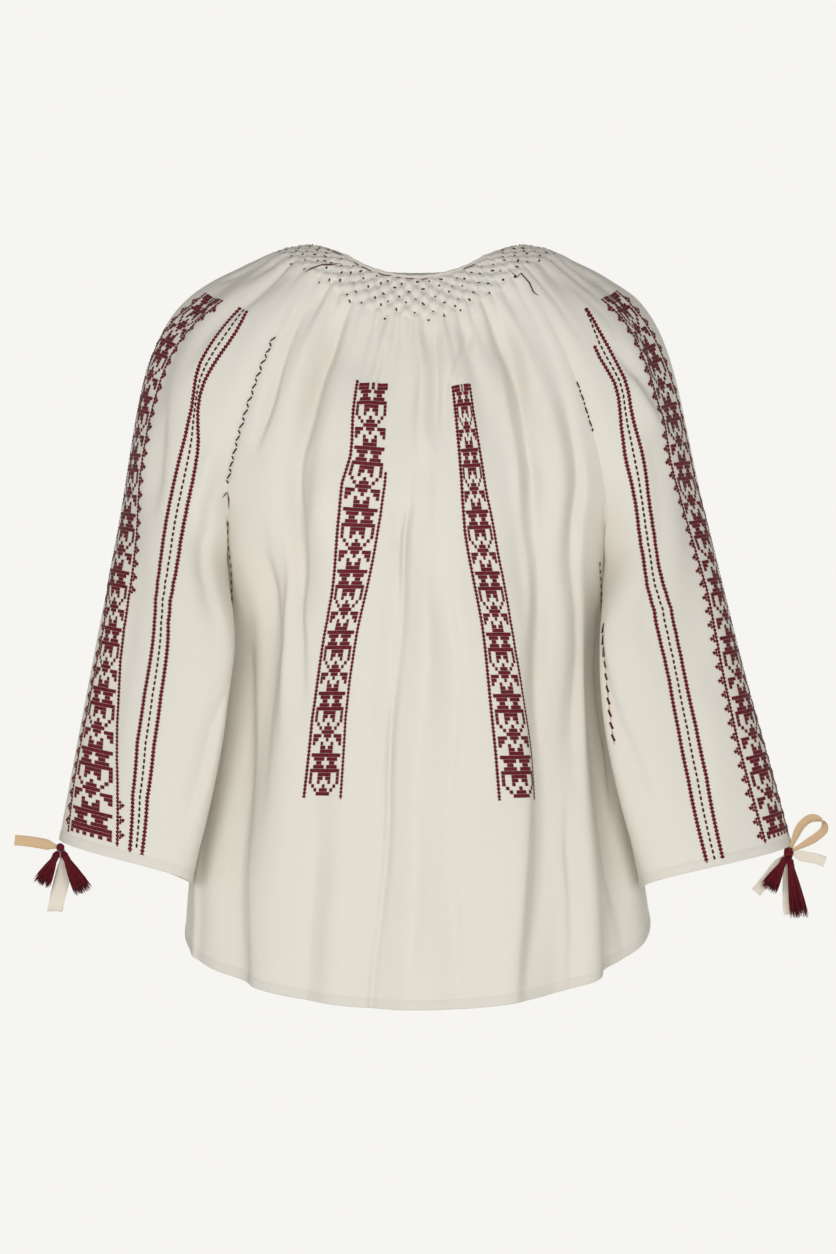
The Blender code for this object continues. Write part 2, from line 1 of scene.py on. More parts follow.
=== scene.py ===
"""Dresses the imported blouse: gathered cotton cloth, smocking, cross-bar embroidery, cuff ties, stage.

Each cloth panel is a thin shell on the form of its solid. A place on a panel is given by its
station, which counts down from the neck edge, and by how far across the panel it lies, from -1 to 1.
Left and right are as seen from the front. X is across, -Y is the front and Z is up.
"""

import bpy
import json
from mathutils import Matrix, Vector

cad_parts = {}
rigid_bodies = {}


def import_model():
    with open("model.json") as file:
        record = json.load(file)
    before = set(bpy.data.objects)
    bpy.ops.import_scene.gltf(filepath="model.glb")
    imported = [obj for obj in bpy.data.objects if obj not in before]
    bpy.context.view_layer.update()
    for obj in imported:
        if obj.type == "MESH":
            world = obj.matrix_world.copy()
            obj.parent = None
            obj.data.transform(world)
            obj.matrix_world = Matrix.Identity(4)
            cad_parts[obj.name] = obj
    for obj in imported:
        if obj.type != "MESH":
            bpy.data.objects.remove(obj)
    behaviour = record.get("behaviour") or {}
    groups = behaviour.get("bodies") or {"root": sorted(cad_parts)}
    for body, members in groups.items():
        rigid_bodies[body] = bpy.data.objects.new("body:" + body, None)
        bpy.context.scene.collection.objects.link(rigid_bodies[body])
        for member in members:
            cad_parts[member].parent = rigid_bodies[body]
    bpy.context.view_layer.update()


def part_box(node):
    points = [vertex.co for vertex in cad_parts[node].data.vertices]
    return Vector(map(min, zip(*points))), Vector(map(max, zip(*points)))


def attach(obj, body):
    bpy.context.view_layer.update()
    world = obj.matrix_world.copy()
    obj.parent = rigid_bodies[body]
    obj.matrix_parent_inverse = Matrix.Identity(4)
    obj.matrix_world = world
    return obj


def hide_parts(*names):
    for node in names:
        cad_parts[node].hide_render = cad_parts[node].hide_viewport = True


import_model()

import json
import math

import bpy
import numpy as np
from mathutils import Vector

bl_info = {
    "name": "Embroidered Blouse",
    "version": (1, 0, 0),
    "blender": (4, 5, 0),
    "location": "3D View > Sidebar > Blouse",
    "description": "Dresses the packed blouse in cloth, smocking, embroidery and cuff ties",
    "category": "Object",
}

MM = 0.001
TINY = 1e-12
# Stations on the panels, counted down from the neck edge.
SMOCKING_END = 1
GUSSET_TOP = 7
GUSSET_TIP = 9
SLEEVE_END = 12
BODY_END = 13
# How far the cloth turns in at the underarm edges, as a share of the half depth there.
ARM_TURN = 0.05
# A broad fold comes and goes over this many stations. The gathers die out between these stations.
FOLD_EASE = 1.5
GATHER_DEPTH = 2.2 * MM
GATHERS_ENDING = (3.5, 7.0)
# The pleats that run out of the smocking: last station, and depth and half width in millimetres.
PLEAT_LAST = (2.6, 6.8)
PLEAT_DEPTH = (1.6, 3.6)
PLEAT_WIDTH = (3.0, 4.8)
# A crease wanders by this much across, swells and thins by this share, leans by one of these shares
# to its side, and comes and goes over this many stations, or over a share of a short one's length.
CREASE_WANDER = 0.008
CREASE_SWELL = 0.25
CREASE_LEANS = (-0.25, 0.35)
CREASE_EASE = 1.6
CREASE_EASE_SHARE = 0.4
RUMPLE_WAVES = 7
RUMPLE_DEPTH = 0.35 * MM
# Under the arm, body and sleeve are each brought this much nearer, between these stations.
ARMPIT_CLOSING = 4.6 * MM
ARMPIT_START = (7.1, 7.8)
ARMPIT_ENDING = (8.8, 9.6)
# Further down the sleeve hangs this much away from the body.
SLEEVE_SLACK = {"sleeve_right": 0.0, "sleeve_left": 4.0 * MM}
SLACK_START = (9.2, 10.1)
SLACK_ENDING = (10.8, 12.0)
# How often the bends under the arms are smoothed, and how far each time.
EASING_PASSES = 160
EASING_SHARE = 0.25

# A sleeve section is part of an ellipse between its two ends, in millimetres and degrees.
SLEEVE_FIELDS = ("outer_x", "outer_z", "inner_x", "inner_z", "centre_y", "half_depth", "sweep", "wrap")
SLEEVE_RIGHT = (
    (95, 0, 63.6, -14.5, 0, 80, 48, 0),
    (124, -5, 90, -27, 0, 86, 62, 0),
    (158, -19, 108, -53, 0, 90, 73, 0),
    (191, -38, 125, -84, 0, 92, 84, 0),
    (219, -67, 140, -119, 0, 93, 92, 0),
    (238, -120, 154, -160, -2, 91, 100, 0),
    (249, -172, 164, -196, -4, 87, 108, 0),
    (260, -222, 171, -232, -6, 81, 120, 0),
    (270, -274, 178, -289, -20, 74, 150, 0),
    (281, -325, 174, -345, -38, 68, 180, 60),
    (297, -395, 176, -420, -50, 62, 180, 65),
    (317, -465, 186, -500, -56, 60, 180, 60),
    (338, -546, 203, -585, -60, 59, 180, 35),
)
SLEEVE_LEFT = (
    (95, 0, 63.6, -14.5, 0, 80, 48, 0),
    (126, -5, 90, -27, 0, 86, 62, 0),
    (160, -18, 108, -52, 0, 90, 73, 0),
    (196, -38, 124, -83, 0, 92, 84, 0),
    (227, -68, 139, -118, 0, 93, 92, 0),
    (247, -118, 153, -159, -2, 91, 100, 0),
    (257, -168, 163, -194, -4, 87, 108, 0),
    (265, -216, 171, -230, -6, 81, 120, 0),
    (273, -270, 178, -287, -20, 74, 150, 0),
    (283, -322, 173, -345, -38, 68, 180, 60),
    (296, -393, 176, -420, -50, 60, 180, 65),
    (309, -463, 185, -497, -56, 58, 180, 60),
    (323, -541, 202, -582, -60, 57, 180, 35),
)

# The middle of each section of the body's front and back, in millimetres and degrees.
BODY_FIELDS = ("middle_y", "middle_z", "sweep")
FRONT = (
    (-80, -36, 42),
    (-99, -68, 44),
    (-110, -98, 46),
    (-118, -128, 48),
    (-123, -158, 51),
    (-128, -192, 55),
    (-131, -222, 60),
    (-133, -252, 66),
    (-134, -300, 78),
    (-135, -350, 90),
    (-135, -425, 90),
    (-135, -505, 90),
    (-137, -595, 90),
    (-140, -688, 90),
)
BACK = (
    (80, -20, 42),
    (97, -50, 44),
    (107, -82, 46),
    (113, -114, 48),
    (117, -146, 51),
    (119, -182, 55),
    (121, -214, 60),
    (122, -246, 66),
    (122, -297, 78),
    (122, -350, 90),
    (121, -425, 90),
    (121, -505, 90),
    (123, -597, 90),
    (126, -692, 90),
)

# The body's side line below the armhole, from station 8 down.
SIDE_RIGHT = (
    (168, -1, -292, 46),
    (172, -2, -352, 0),
    (179, -4, -425, 0),
    (191, -5, -505, 0),
    (209, -5, -580, 0),
    (215, -5, -619, 0),
)
SIDE_LEFT = (
    (168, -1, -290, 46),
    (171, -2, -352, 0),
    (178, -4, -425, 0),
    (191, -5, -505, 0),
    (208, -5, -580, 0),
    (212, -5, -630, 0),
)

# The broad folds that the solids have too: place across at the top and the bottom, first and last
# station, half width and depth in millimetres.
FRONT_FOLDS = (
    (-0.02, -0.12, 6.0, 14.5, 20, -9),
    (-0.62, -0.47, 1.0, 9.5, 20, -7),
    (-0.42, -0.34, 2.5, 8.5, 26, 7),
    (-0.78, -0.58, 8, 14.5, 22, -10),
    (-0.32, -0.33, 8.5, 14.5, 20, -6),
    (0.62, 0.40, 1, 14.5, 21, -9),
    (0.78, 0.52, 4, 14.5, 22, 5),
    (0.86, 0.65, 8, 14.5, 22, -9),
    (0.16, 0.10, 1.5, 10, 24, 4),
    (0.30, 0.24, 9, 14.5, 24, 5),
)
BACK_FOLDS = (
    (0.04, 0.08, 4, 14.5, 24, -9),
    (-0.30, -0.36, 2, 14.5, 24, -9),
    (0.36, 0.40, 2, 14.5, 24, -9),
    (-0.62, -0.66, 5, 14.5, 24, -9),
    (0.66, 0.68, 5, 14.5, 24, -9),
)
SLEEVE_RIGHT_FOLDS = (
    (-0.46, -0.30, 1, 6.5, 20, -6),
    (-0.30, -0.36, 6, 12.5, 21, -6),
    (0.32, 0.40, 1, 8, 21, -6),
    (0.58, 0.56, 6, 12.5, 22, -6),
)
SLEEVE_LEFT_FOLDS = (
    (-0.44, -0.32, 1, 6.5, 20, -6),
    (-0.28, -0.32, 6.5, 12.5, 21, -6),
    (0.32, 0.42, 1, 8, 21, -6),
    (0.58, 0.56, 6, 12.5, 22, -6),
)

# The narrower creases, soft and uneven: half width and depth in millimetres, a depth below zero
# being a trough, and the line that each runs on as places of station and place across.
FRONT_CREASES = (
    (2.6, -2.2, ((5.6, -0.028), (6.8, -0.033), (9.3, -0.062), (11.3, -0.09), (14.6, -0.150))),
    (6, -1.6, ((1.2, -0.01), (4.0, -0.02), (6.8, -0.045), (9.3, -0.080), (11.3, -0.108))),
    (16, -3.0, ((8.5, 0.74), (10.5, 0.67), (12.2, 0.62), (14.6, 0.60))),
    (12, 2.6, ((6.0, 0.04), (9.3, 0.02), (11.3, -0.01), (13.6, -0.05))),
    (10, -4.0, ((9.6, 0.43), (10.8, 0.40), (12.9, 0.31), (13.8, 0.29))),
    (8, 2.4, ((9.6, 0.37), (10.8, 0.35), (12.9, 0.26), (13.8, 0.24))),
    (7, -3.2, ((10.6, 0.54), (11.5, 0.50), (12.7, 0.454), (13.6, 0.44))),
    (9, -4.2, ((4.0, 0.90), (6.5, 0.80), (9.0, 0.63), (11.5, 0.52))),
    (6, -3.0, ((8.4, 0.86), (9.1, 0.88), (10.5, 0.84), (11.4, 0.76))),
    (12, -4.6, ((9.0, -0.74), (9.9, -0.711), (12.1, -0.568), (13.7, -0.53))),
    (20, -3.0, ((6.2, -0.66), (8.4, -0.60), (10.4, -0.57), (12.4, -0.56))),
    (12, -3.4, ((6.8, -0.74), (7.9, -0.70), (9.2, -0.56), (10.6, -0.536), (11.4, -0.53))),
    (7, 2.6, ((7.4, -0.60), (9.2, -0.48), (10.6, -0.46))),
    (7, -3.8, ((1.2, -0.634), (2.7, -0.597), (5.4, -0.588), (7.5, -0.514), (9.2, -0.413), (10.4, -0.40))),
    (14, 3.6, ((3.6, -0.50), (5.8, -0.456), (8.4, -0.42))),
    (8, -4.0, ((1.4, 0.70), (2.85, 0.674), (5.35, 0.571), (7.9, 0.531), (9.9, 0.439), (10.8, 0.42))),
    (9, 3.0, ((2.4, 0.60), (5.35, 0.50), (7.9, 0.47), (9.4, 0.42))),
    (6, -3.0, ((1.6, -0.88), (2.4, -0.90), (4.5, -0.86), (6.0, -0.84))),
    (5, -2.4, ((1.2, 0.47), (1.8, 0.419), (3.15, 0.22), (4.6, 0.15))),
    (5, -2.2, ((1.2, 0.16), (3.0, 0.12), (5.5, 0.10))),
    (5, -2.2, ((1.2, -0.24), (3.2, -0.22), (4.6, -0.21))),
    (8, -2.6, ((7.0, 0.10), (9.5, 0.12), (12.0, 0.09), (13.6, 0.10))),
    (10, -2.4, ((10.8, -0.29), (12.2, -0.31), (13.7, -0.30))),
    (7, -2.0, ((4.4, 0.02), (6.4, 0.05), (8.6, 0.06))),
    (14, -3.4, ((10.6, 0.70), (12.3, 0.73), (14.4, 0.72))),
    (8, 2.4, ((11.2, -0.86), (12.4, -0.80), (13.6, -0.78))),
)
BACK_CREASES = (
    (8, -3.4, ((1.2, 0.02), (4.5, 0.05), (8.0, 0.03), (11.0, 0.08), (13.6, 0.07))),
    (9, -3.8, ((1.4, -0.26), (4.0, -0.30), (8.0, -0.35), (12.0, -0.34), (13.7, -0.38))),
    (12, 2.8, ((3.0, -0.14), (7.0, -0.18), (11.5, -0.20), (13.6, -0.17))),
    (8, -3.6, ((1.3, 0.32), (4.6, 0.38), (8.4, 0.37), (11.6, 0.42), (13.6, 0.39))),
    (12, 3.0, ((2.6, 0.21), (6.6, 0.22), (10.0, 0.26), (13.0, 0.25))),
    (9, -4.0, ((3.6, -0.60), (7.2, -0.63), (10.4, -0.60), (13.7, -0.68))),
    (9, -3.6, ((4.4, 0.63), (7.6, 0.70), (10.8, 0.66), (13.6, 0.70))),
    (7, -2.6, ((9.0, -0.86), (10.6, -0.82), (13.0, -0.86))),
    (7, -2.8, ((8.6, 0.86), (10.4, 0.84), (12.6, 0.88))),
    (6, -2.2, ((1.2, -0.52), (3.4, -0.50), (5.6, -0.47))),
    (6, -2.2, ((1.2, 0.54), (3.0, 0.53), (5.8, 0.50))),
)
SLEEVE_RIGHT_CREASES = (
    (10, -1.8, ((1.3, -0.62), (2.6, -0.61), (4.2, -0.60))),
    (6, -2.4, ((1.2, -0.30), (1.9, -0.27), (2.7, -0.24))),
    (8, -2.8, ((3.9, -0.68), (4.6, -0.62), (5.3, -0.50), (5.7, -0.42))),
    (10, 2.0, ((4.4, -0.66), (5.2, -0.60), (6.0, -0.50))),
    (12, -1.8, ((5.4, -0.60), (7.0, -0.58), (9.0, -0.50), (10.4, -0.36))),
    (9, -2.6, ((8.6, -0.78), (9.6, -0.66), (10.6, -0.60), (11.7, -0.56))),
    (12, 2.2, ((9.4, -0.34), (10.6, -0.33), (12.0, -0.36))),
    (6, -2.4, ((1.2, 0.02), (2.2, 0.04), (3.4, 0.01))),
    (9, -3.0, ((2.0, 0.24), (4.6, 0.28), (7.4, 0.30), (9.0, 0.34))),
    (8, -3.2, ((5.6, 0.58), (7.6, 0.54), (9.8, 0.50), (11.8, 0.53))),
    (10, 2.8, ((4.0, 0.42), (7.0, 0.44), (10.0, 0.41))),
    (6, -2.6, ((9.4, -0.90), (10.4, -0.84), (11.9, -0.86))),
    (7, -2.4, ((9.6, 0.18), (10.8, 0.22), (12.2, 0.20))),
)
SLEEVE_LEFT_CREASES = (
    (11, -2.2, ((1.2, -0.78), (2.4, -0.70), (4.0, -0.58), (5.2, -0.50))),
    (6, -2.2, ((1.3, -0.26), (2.0, -0.22), (2.8, -0.20))),
    (10, -2.2, ((4.8, -0.42), (5.8, -0.46), (6.9, -0.50), (8.2, -0.44))),
    (9, 2.0, ((5.6, -0.86), (6.8, -0.84), (8.0, -0.76))),
    (9, -2.8, ((6.6, -0.92), (7.6, -0.84), (8.8, -0.62), (9.8, -0.54))),
    (11, 2.0, ((8.6, -0.33), (10.0, -0.34), (11.6, -0.38))),
    (8, -2.4, ((9.6, -0.72), (10.4, -0.62), (11.8, -0.58))),
    (6, -2.0, ((1.2, 0.05), (2.0, 0.02), (3.8, 0.06))),
    (9, -3.2, ((2.4, 0.27), (4.2, 0.31), (6.8, 0.27), (9.4, 0.33))),
    (8, -3.0, ((5.0, 0.54), (7.2, 0.57), (9.4, 0.52), (11.9, 0.50))),
    (10, 2.6, ((3.6, 0.43), (6.6, 0.42), (10.4, 0.42))),
    (6, -2.4, ((9.8, -0.88), (10.8, -0.86), (12.0, -0.82))),
    (7, -2.6, ((9.2, 0.22), (10.5, 0.17), (12.1, 0.22))),
)

# The rows of one repeat of the cross-bar pattern, eleven columns wide, worked in satin bars.
CHART = (
    "###########",
    "#..#####..#",
    "#..##.##..#",
    "#..#...#..#",
    ".#...#...#.",
    "..#.###.#..",
    "...#####...",
    "###.###.###",
    "##...#...##",
    "#..#...#..#",
    "...##.##...",
    "...#####...",
    "###########",
    ".####.####.",
    "..##...##..",
    ".####.####.",
)
CHART_START = ("####.#.####", "####.#.####") + CHART[13:16]
CUFF_COMB = ("###########", "#.#.#.#.#.#")
CHART_COLUMNS = 11
# The height of a row, and the share of a band's width that each border takes.
CHART_ROW = 3.45 * MM
BORDER_INSET = 0.085
# The right border of the left front band starts this far down; above it, it lies in a fold.
RIGHT_BORDER_FROM = 5.7
# The gathers draw the right end of that band's top rows up, by this many stations over so many.
TOP_RISE = 0.19
RISE_STATIONS = 2.6

# The edges of the bands and of the stripes, each row as station, left edge and right edge.
FRONT_BAND_LEFT = (
    (3.26, -0.367, -0.161),
    (4.15, -0.348, -0.152),
    (4.54, -0.335, -0.147),
    (4.94, -0.322, -0.144),
    (5.33, -0.316, -0.143),
    (6.12, -0.330, -0.142),
    (6.91, -0.320, -0.150),
    (7.70, -0.319, -0.167),
    (8.49, -0.313, -0.186),
    (8.89, -0.317, -0.197),
    (9.67, -0.344, -0.222),
    (10.07, -0.355, -0.230),
    (10.96, -0.359, -0.230),
)
FRONT_BAND_RIGHT = (
    (3.32, 0.221, 0.325),
    (4.12, 0.214, 0.314),
    (6.11, 0.201, 0.309),
    (6.51, 0.198, 0.311),
    (7.30, 0.198, 0.325),
    (8.10, 0.212, 0.335),
    (8.89, 0.223, 0.333),
    (9.29, 0.229, 0.340),
    (10.48, 0.245, 0.384),
    (10.98, 0.248, 0.393),
)
SLEEVE_BAND_LEFT = (
    (3.04, -0.515, -0.218),
    (3.43, -0.478, -0.212),
    (4.22, -0.349, -0.115),
    (4.62, -0.312, -0.078),
    (5.01, -0.294, -0.022),
    (5.41, -0.292, -0.011),
    (5.80, -0.309, -0.026),
    (6.20, -0.332, -0.049),
    (6.60, -0.338, -0.057),
    (7.39, -0.312, -0.038),
    (7.78, -0.302, -0.038),
    (8.57, -0.273, -0.052),
    (8.97, -0.261, -0.104),
    (9.36, -0.257, -0.138),
    (9.76, -0.263, -0.129),
    (10.55, -0.298, -0.126),
    (10.95, -0.322, -0.120),
    (11.34, -0.352, -0.128),
    (11.88, -0.400, -0.163),
)
SLEEVE_BAND_RIGHT = (
    (2.92, -0.497, -0.217),
    (3.70, -0.484, -0.219),
    (4.48, -0.482, -0.191),
    (5.26, -0.442, -0.151),
    (5.65, -0.443, -0.148),
    (6.04, -0.459, -0.165),
    (6.43, -0.464, -0.173),
    (6.82, -0.440, -0.158),
    (7.21, -0.385, -0.117),
    (7.60, -0.330, -0.070),
    (7.99, -0.286, -0.043),
    (8.38, -0.256, -0.032),
    (8.77, -0.236, -0.031),
    (9.16, -0.229, -0.036),
    (9.55, -0.230, -0.041),
    (10.72, -0.252, -0.067),
    (11.89, -0.254, -0.072),
)
STRIPE_LEFT = (
    (2.96, -0.664, -0.735),
    (3.26, -0.661, -0.753),
    (3.56, -0.658, -0.759),
    (3.85, -0.653, -0.751),
    (4.45, -0.636, -0.716),
    (4.75, -0.642, -0.701),
    (5.05, -0.658, -0.700),
    (5.34, -0.669, -0.712),
    (5.94, -0.666, -0.756),
    (6.24, -0.657, -0.765),
    (6.54, -0.646, -0.763),
    (6.83, -0.632, -0.754),
    (7.13, -0.613, -0.734),
    (7.43, -0.585, -0.702),
    (7.73, -0.547, -0.658),
    (8.03, -0.500, -0.600),
    (8.32, -0.453, -0.536),
    (8.62, -0.414, -0.480),
    (8.92, -0.390, -0.444),
    (9.22, -0.381, -0.426),
    (10.11, -0.375, -0.424),
    (10.71, -0.380, -0.430),
    (11.31, -0.402, -0.448),
    (11.90, -0.446, -0.488),
)
STRIPE_RIGHT = (
    (2.93, -0.722, -0.700),
    (3.51, -0.779, -0.717),
    (3.80, -0.803, -0.717),
    (4.09, -0.802, -0.710),
    (4.67, -0.764, -0.690),
    (4.96, -0.768, -0.696),
    (5.25, -0.784, -0.706),
    (5.54, -0.800, -0.706),
    (6.13, -0.815, -0.689),
    (6.42, -0.811, -0.685),
    (7.00, -0.786, -0.681),
    (7.29, -0.765, -0.667),
    (7.58, -0.735, -0.639),
    (7.87, -0.690, -0.595),
    (8.45, -0.554, -0.477),
    (8.75, -0.495, -0.430),
    (9.04, -0.457, -0.398),
    (9.33, -0.437, -0.381),
    (9.62, -0.426, -0.374),
    (9.91, -0.422, -0.373),
    (10.49, -0.426, -0.375),
    (11.07, -0.437, -0.385),
    (11.95, -0.468, -0.417),
)

# The stretches of the raglan seams' stitches that show: the panel, the side, the first and the last
# station, and how far the stitch swings to each side of the seam in millimetres. The rest of each
# seam's stitches lies in the pleats beside it.
RAGLAN_STITCHES = (
    ("front", "left", 3.15, 6.98, 2.0),
    ("front", "right", 4.25, 5.70, 0.5),
    ("back", "left", 1.6, 6.98, 1.5),
    ("back", "right", 1.4, 6.98, 1.5),
)

# Loose ends of the seam stitches at the neck and the gusset: panel, station and place across.
LOOSE_STITCHES = (
    (("front", 0.33, -0.915), ("front", 0.62, -0.944), ("front", 0.83, -0.984),
     ("sleeve_left", 0.95, -0.998), ("sleeve_left", 1.14, -0.98), ("sleeve_left", 1.32, -0.953)),
    (("front", 0.90, 0.942), ("front", 1.24, 0.953), ("front", 1.24, 0.991),
     ("sleeve_right", 1.59, -0.991), ("front", 1.85, 0.996), ("sleeve_right", 2.05, -0.982)),
    (("front", 6.94, -0.982), ("sleeve_left", 7.0, -0.993), ("sleeve_left", 7.08, -0.973)),
    (("front", 6.94, -0.982), ("front", 7.05, -0.968), ("front", 7.22, -0.974)),
)

# The stitches under the arms in front, as station and place across. They run down the body's edge
# and, at the right, on down the fold of the sleeve.
UNDERARM_LEFT = ((7.40, -0.984), (7.76, -0.978), (7.97, -0.955), (8.27, -0.908), (8.64, -0.864))
UNDERARM_RIGHT = ((7.96, 0.924), (8.24, 0.92), (8.56, 0.898), (9.0, 0.90))
SLEEVE_FOLD_RIGHT = ((9.14, -0.72), (9.42, -0.682), (9.61, -0.669), (9.9, -0.66), (10.55, -0.664))
BOX_STITCHES = 3

# Each tape of a tie: its points as x, z, y in millimetres from the knot, its width, the direction
# that its width lies in, and its material.
ACROSS = (1.0, 0.0, 0.0)
UPRIGHT = (0.0, 0.0, 1.0)
SLANTED = (0.68, 0.42, -0.60)
LOOP_LEFT = ((2, -7, 5), (3, -14, 6), (2, -28, 5), (-2, -44, 5), (-5, -54, 6), (-6, -58, 9),
             (-5, -54, 12), (-3, -40, 14), (1, -24, 14), (3, -11, 12), (2, -5, 8.5))
LOOP_RIGHT = ((3, 6, 0), (6, 14, 0), (12, 25, 0), (21, 31, 1), (30, 28, 2), (32, 21, 2), (25, 14, 2),
              (15, 8, 1), (6, 3.2, 0))
END_LEFT = ((-7, 1, 1), (-17, 3.4, 1), (-29, 5.4, 0), (-41, 6.6, -1))
END_RIGHT = ((7, -1, 0), (15, -3.4, 0), (24, -5, -1), (33, -8, 0))
BACK_END_RIGHT = ((-5, -6, 5.3), (-11, -13, 6), (-20, -25, 6), (-29, -36, 5))
FRONT_END_RIGHT = ((1, -7, 6), (0, -14, 6), (-1, -26, 5), (-1, -44, 4), (0, -56, 4))
TAPES = {
    "tie_end_left": (END_LEFT, 9.5, UPRIGHT, "tan_tape"),
    "tie_loop_left": (LOOP_LEFT, 13, ACROSS, "pale_tape"),
    "tie_end_right": (END_RIGHT, 9.5, UPRIGHT, "pale_tape"),
    "tie_loop_right": (LOOP_RIGHT, 8.5, SLANTED, "tan_tape"),
    "tie_back_end_right": (BACK_END_RIGHT, 9.5, ACROSS, "pale_tape"),
    "tie_front_end_right": (FRONT_END_RIGHT, 8, ACROSS, "pale_tape"),
}
TAPE_SECTION = (
    (-1, 0.0), (-0.96, 0.32), (-0.5, 0.34), (0, 0.30), (0.5, 0.34), (0.96, 0.32), (1, 0.0),
    (0.96, -0.32), (0.5, -0.26), (0, -0.30), (-0.5, -0.26), (-0.96, -0.32),
)
TAPE_CURL = 0.9 * MM
# How narrow a tape is where the knot holds it, and over what share of its length it opens out.
TAPE_PINCH = 0.45
TAPE_OPENING = 0.22

# Each tassel's direction in X and Z from the knot and its length in millimetres.
TASSELS = {
    "tassel_outer_left": (-0.42, -0.86, 33),
    "tassel_inner_left": (0.50, -0.86, 42),
    "tassel_inner_right": (-0.54, -0.90, 34),
    "tassel_outer_right": (0.15, -1.0, 54),
}
TASSEL_LEAN = -0.30
TASSEL_STRANDS = 90
TASSEL_THREAD = 0.62 * MM
TASSEL_NECK = 8.0 * MM
TASSEL_WRAP = 0.6 * MM
# The turn from one strand to the next that spreads them evenly over a disc.
STRAND_TURN = 2.399963
# The places down a tassel at which its strands spread: share of the neck, share of the rest, half
# width of the bundle and stray of a strand in millimetres.
TASSEL_SHAPE = (
    (0.0, 0.0, 1.6, 0.0),
    (0.45, 0.0, 2.9, 0.0),
    (1.0, 0.0, 2.3, 0.0),
    (1.0, 0.35, 4.8, 0.4),
    (1.0, 0.7, 6.7, 0.8),
    (1.0, 1.0, 8.2, 1.2),
)
KNOT_RADIUS = 5.5 * MM
KNOT_CORD = 1.4 * MM
# A tape's end that lies nearer the knot's middle than this runs into the knot.
KNOT_REACH = 14 * MM
# The rounds of cord that make a wrap: tilt and spin in radians, and size.
KNOT_ROUNDS = ((0.0, 0.0, 1.0), (0.9, 0.4, 0.97), (-0.8, 1.9, 0.97), (1.5, 2.6, 0.94), (0.45, 3.8, 0.98))
# How each wrap is drawn out in X, Y and Z: the left one is pulled tight, the right one is long.
KNOT_STRETCH = {"left": (0.62, 0.7, 0.62), "right": (0.74, 0.9, 1.35)}

# The turned hem's section: share of its depth up from the edge, and millimetres out from the cloth.
HEM_SECTION = (
    (1.0, 0.04), (0.95, 0.26), (0.6, 0.36), (0.2, 0.42), (0.05, 0.35), (0.0, 0.0), (0.05, -0.5),
    (0.2, -0.8), (0.6, -0.85), (0.97, -0.8), (1.0, -0.4),
)

# The round backs of the stitches: where their points lie along or across, and each point's height.
SATIN_DOWN = np.array((0.03, 0.14, 0.5, 0.86, 0.97))
SATIN_HEIGHT = np.array((0.50, 0.90, 1.0, 0.90, 0.50))
CHAIN_ACROSS = np.array((-1.0, -0.6, 0.0, 0.6, 1.0))
CHAIN_HEIGHT = np.array((0.4, 0.85, 1.0, 0.85, 0.4))
CHAIN_PINCH = 0.32
DASH_ALONG = np.array((0.0, 0.2, 0.5, 0.8, 1.0))
DASH_BREADTH = np.array((0.4, 1.0, 1.0, 1.0, 0.4))
DASH_HEIGHT = np.array((0.5, 0.9, 1.0, 0.9, 0.5))
DASH_ACROSS = np.array((-1.0, -0.5, 0.5, 1.0))
DASH_EDGE = np.array((0.6, 1.0, 1.0, 0.6))
# How far a satin bar runs past the squares that it fills, in columns.
SATIN_OVERLAP = 0.02

# The stitches' sizes: the pitch, the length of those with gaps between them, and the width. A
# thread's size is its radius.
BORDER_CHAIN = (3.4 * MM, 3.4 * MM)
RIGHT_BORDER_CHAIN = (3.4 * MM, 3.0 * MM)
STRIPE_CHAIN = (3.4 * MM, 4.2 * MM)
STRIPE_DASHES = (5.4 * MM, 3.9 * MM, 1.9 * MM)
UNDERARM_CHAIN = (4.4 * MM, 2.6 * MM)
SLEEVE_FOLD_CHAIN = (4.4 * MM, 1.6 * MM)
UNDERARM_DASHES = (8 * MM, 4.8 * MM, 1.5 * MM)
BACK_DASHES = (7 * MM, 5 * MM, 1.3 * MM)
UNDERARM_PITCH = 11 * MM
SLANTED_STITCH = (7 * MM, 2 * MM)
# Half the width of a box stitch, and half its depth in stations.
BOX_WIDTH = 1.5 * MM
BOX_DEPTH = 0.055
# A zigzag's strokes: millimetres from one turn to the next on the long way and on the short way.
LONG_STROKE = (7.8, 9.4)
SHORT_STROKE = (2.8, 4.0)
# The red line at the neck: lengths of its stretches and of the gaps between them, as shares of a
# panel's half width, and the share of the stretches that are worked.
NECK_STRETCH = (0.05, 0.20)
NECK_GAP = (0.02, 0.09)
NECK_WORKED = 0.62
ZIGZAG_THREAD = 0.72 * MM
LOOSE_THREAD = 0.62 * MM
BOX_THREAD = 0.5 * MM
NECK_THREAD = 0.42 * MM
DOTS_PITCH = 12.9 * MM

# A cluster of dots beside a sleeve band: millimetres out from the border and down, and its size.
DOT_CLUSTER = ((2.6, -2.4, 2.3), (2.6, 2.4, 2.3), (2.9, 0.0, 1.9), (5.0, 0.0, 3.0))
# The left sleeve's dots on the front side lie in a pleat between these two stations.
LEFT_DOTS_HIDDEN = (9.0, 11.35)
# The right sleeve's stripe nearer the front seam lies in a pleat over the first rows of its table.
INNER_STRIPE_ROWS_HIDDEN = 2

SMOCKING_CELLS = {"front": 12, "back": 12, "sleeve_right": 10, "sleeve_left": 10}
SMOCKING_ROWS = 5
# A puff's fullness, below 1 being fuller, the small pleats in it, and its height at the neck edge.
PUFF_FULLNESS = 0.8
SMOCKING_PLEAT = 0.10
SMOCKING_TOP = 0.25
# No smocking stitch lies further across than this, and this share of the lowest row is left out.
SMOCKING_REACH = 0.985
LOWEST_ROW_LEFT_OUT = 0.6
RED_SMOCKING_SHARE = 0.12
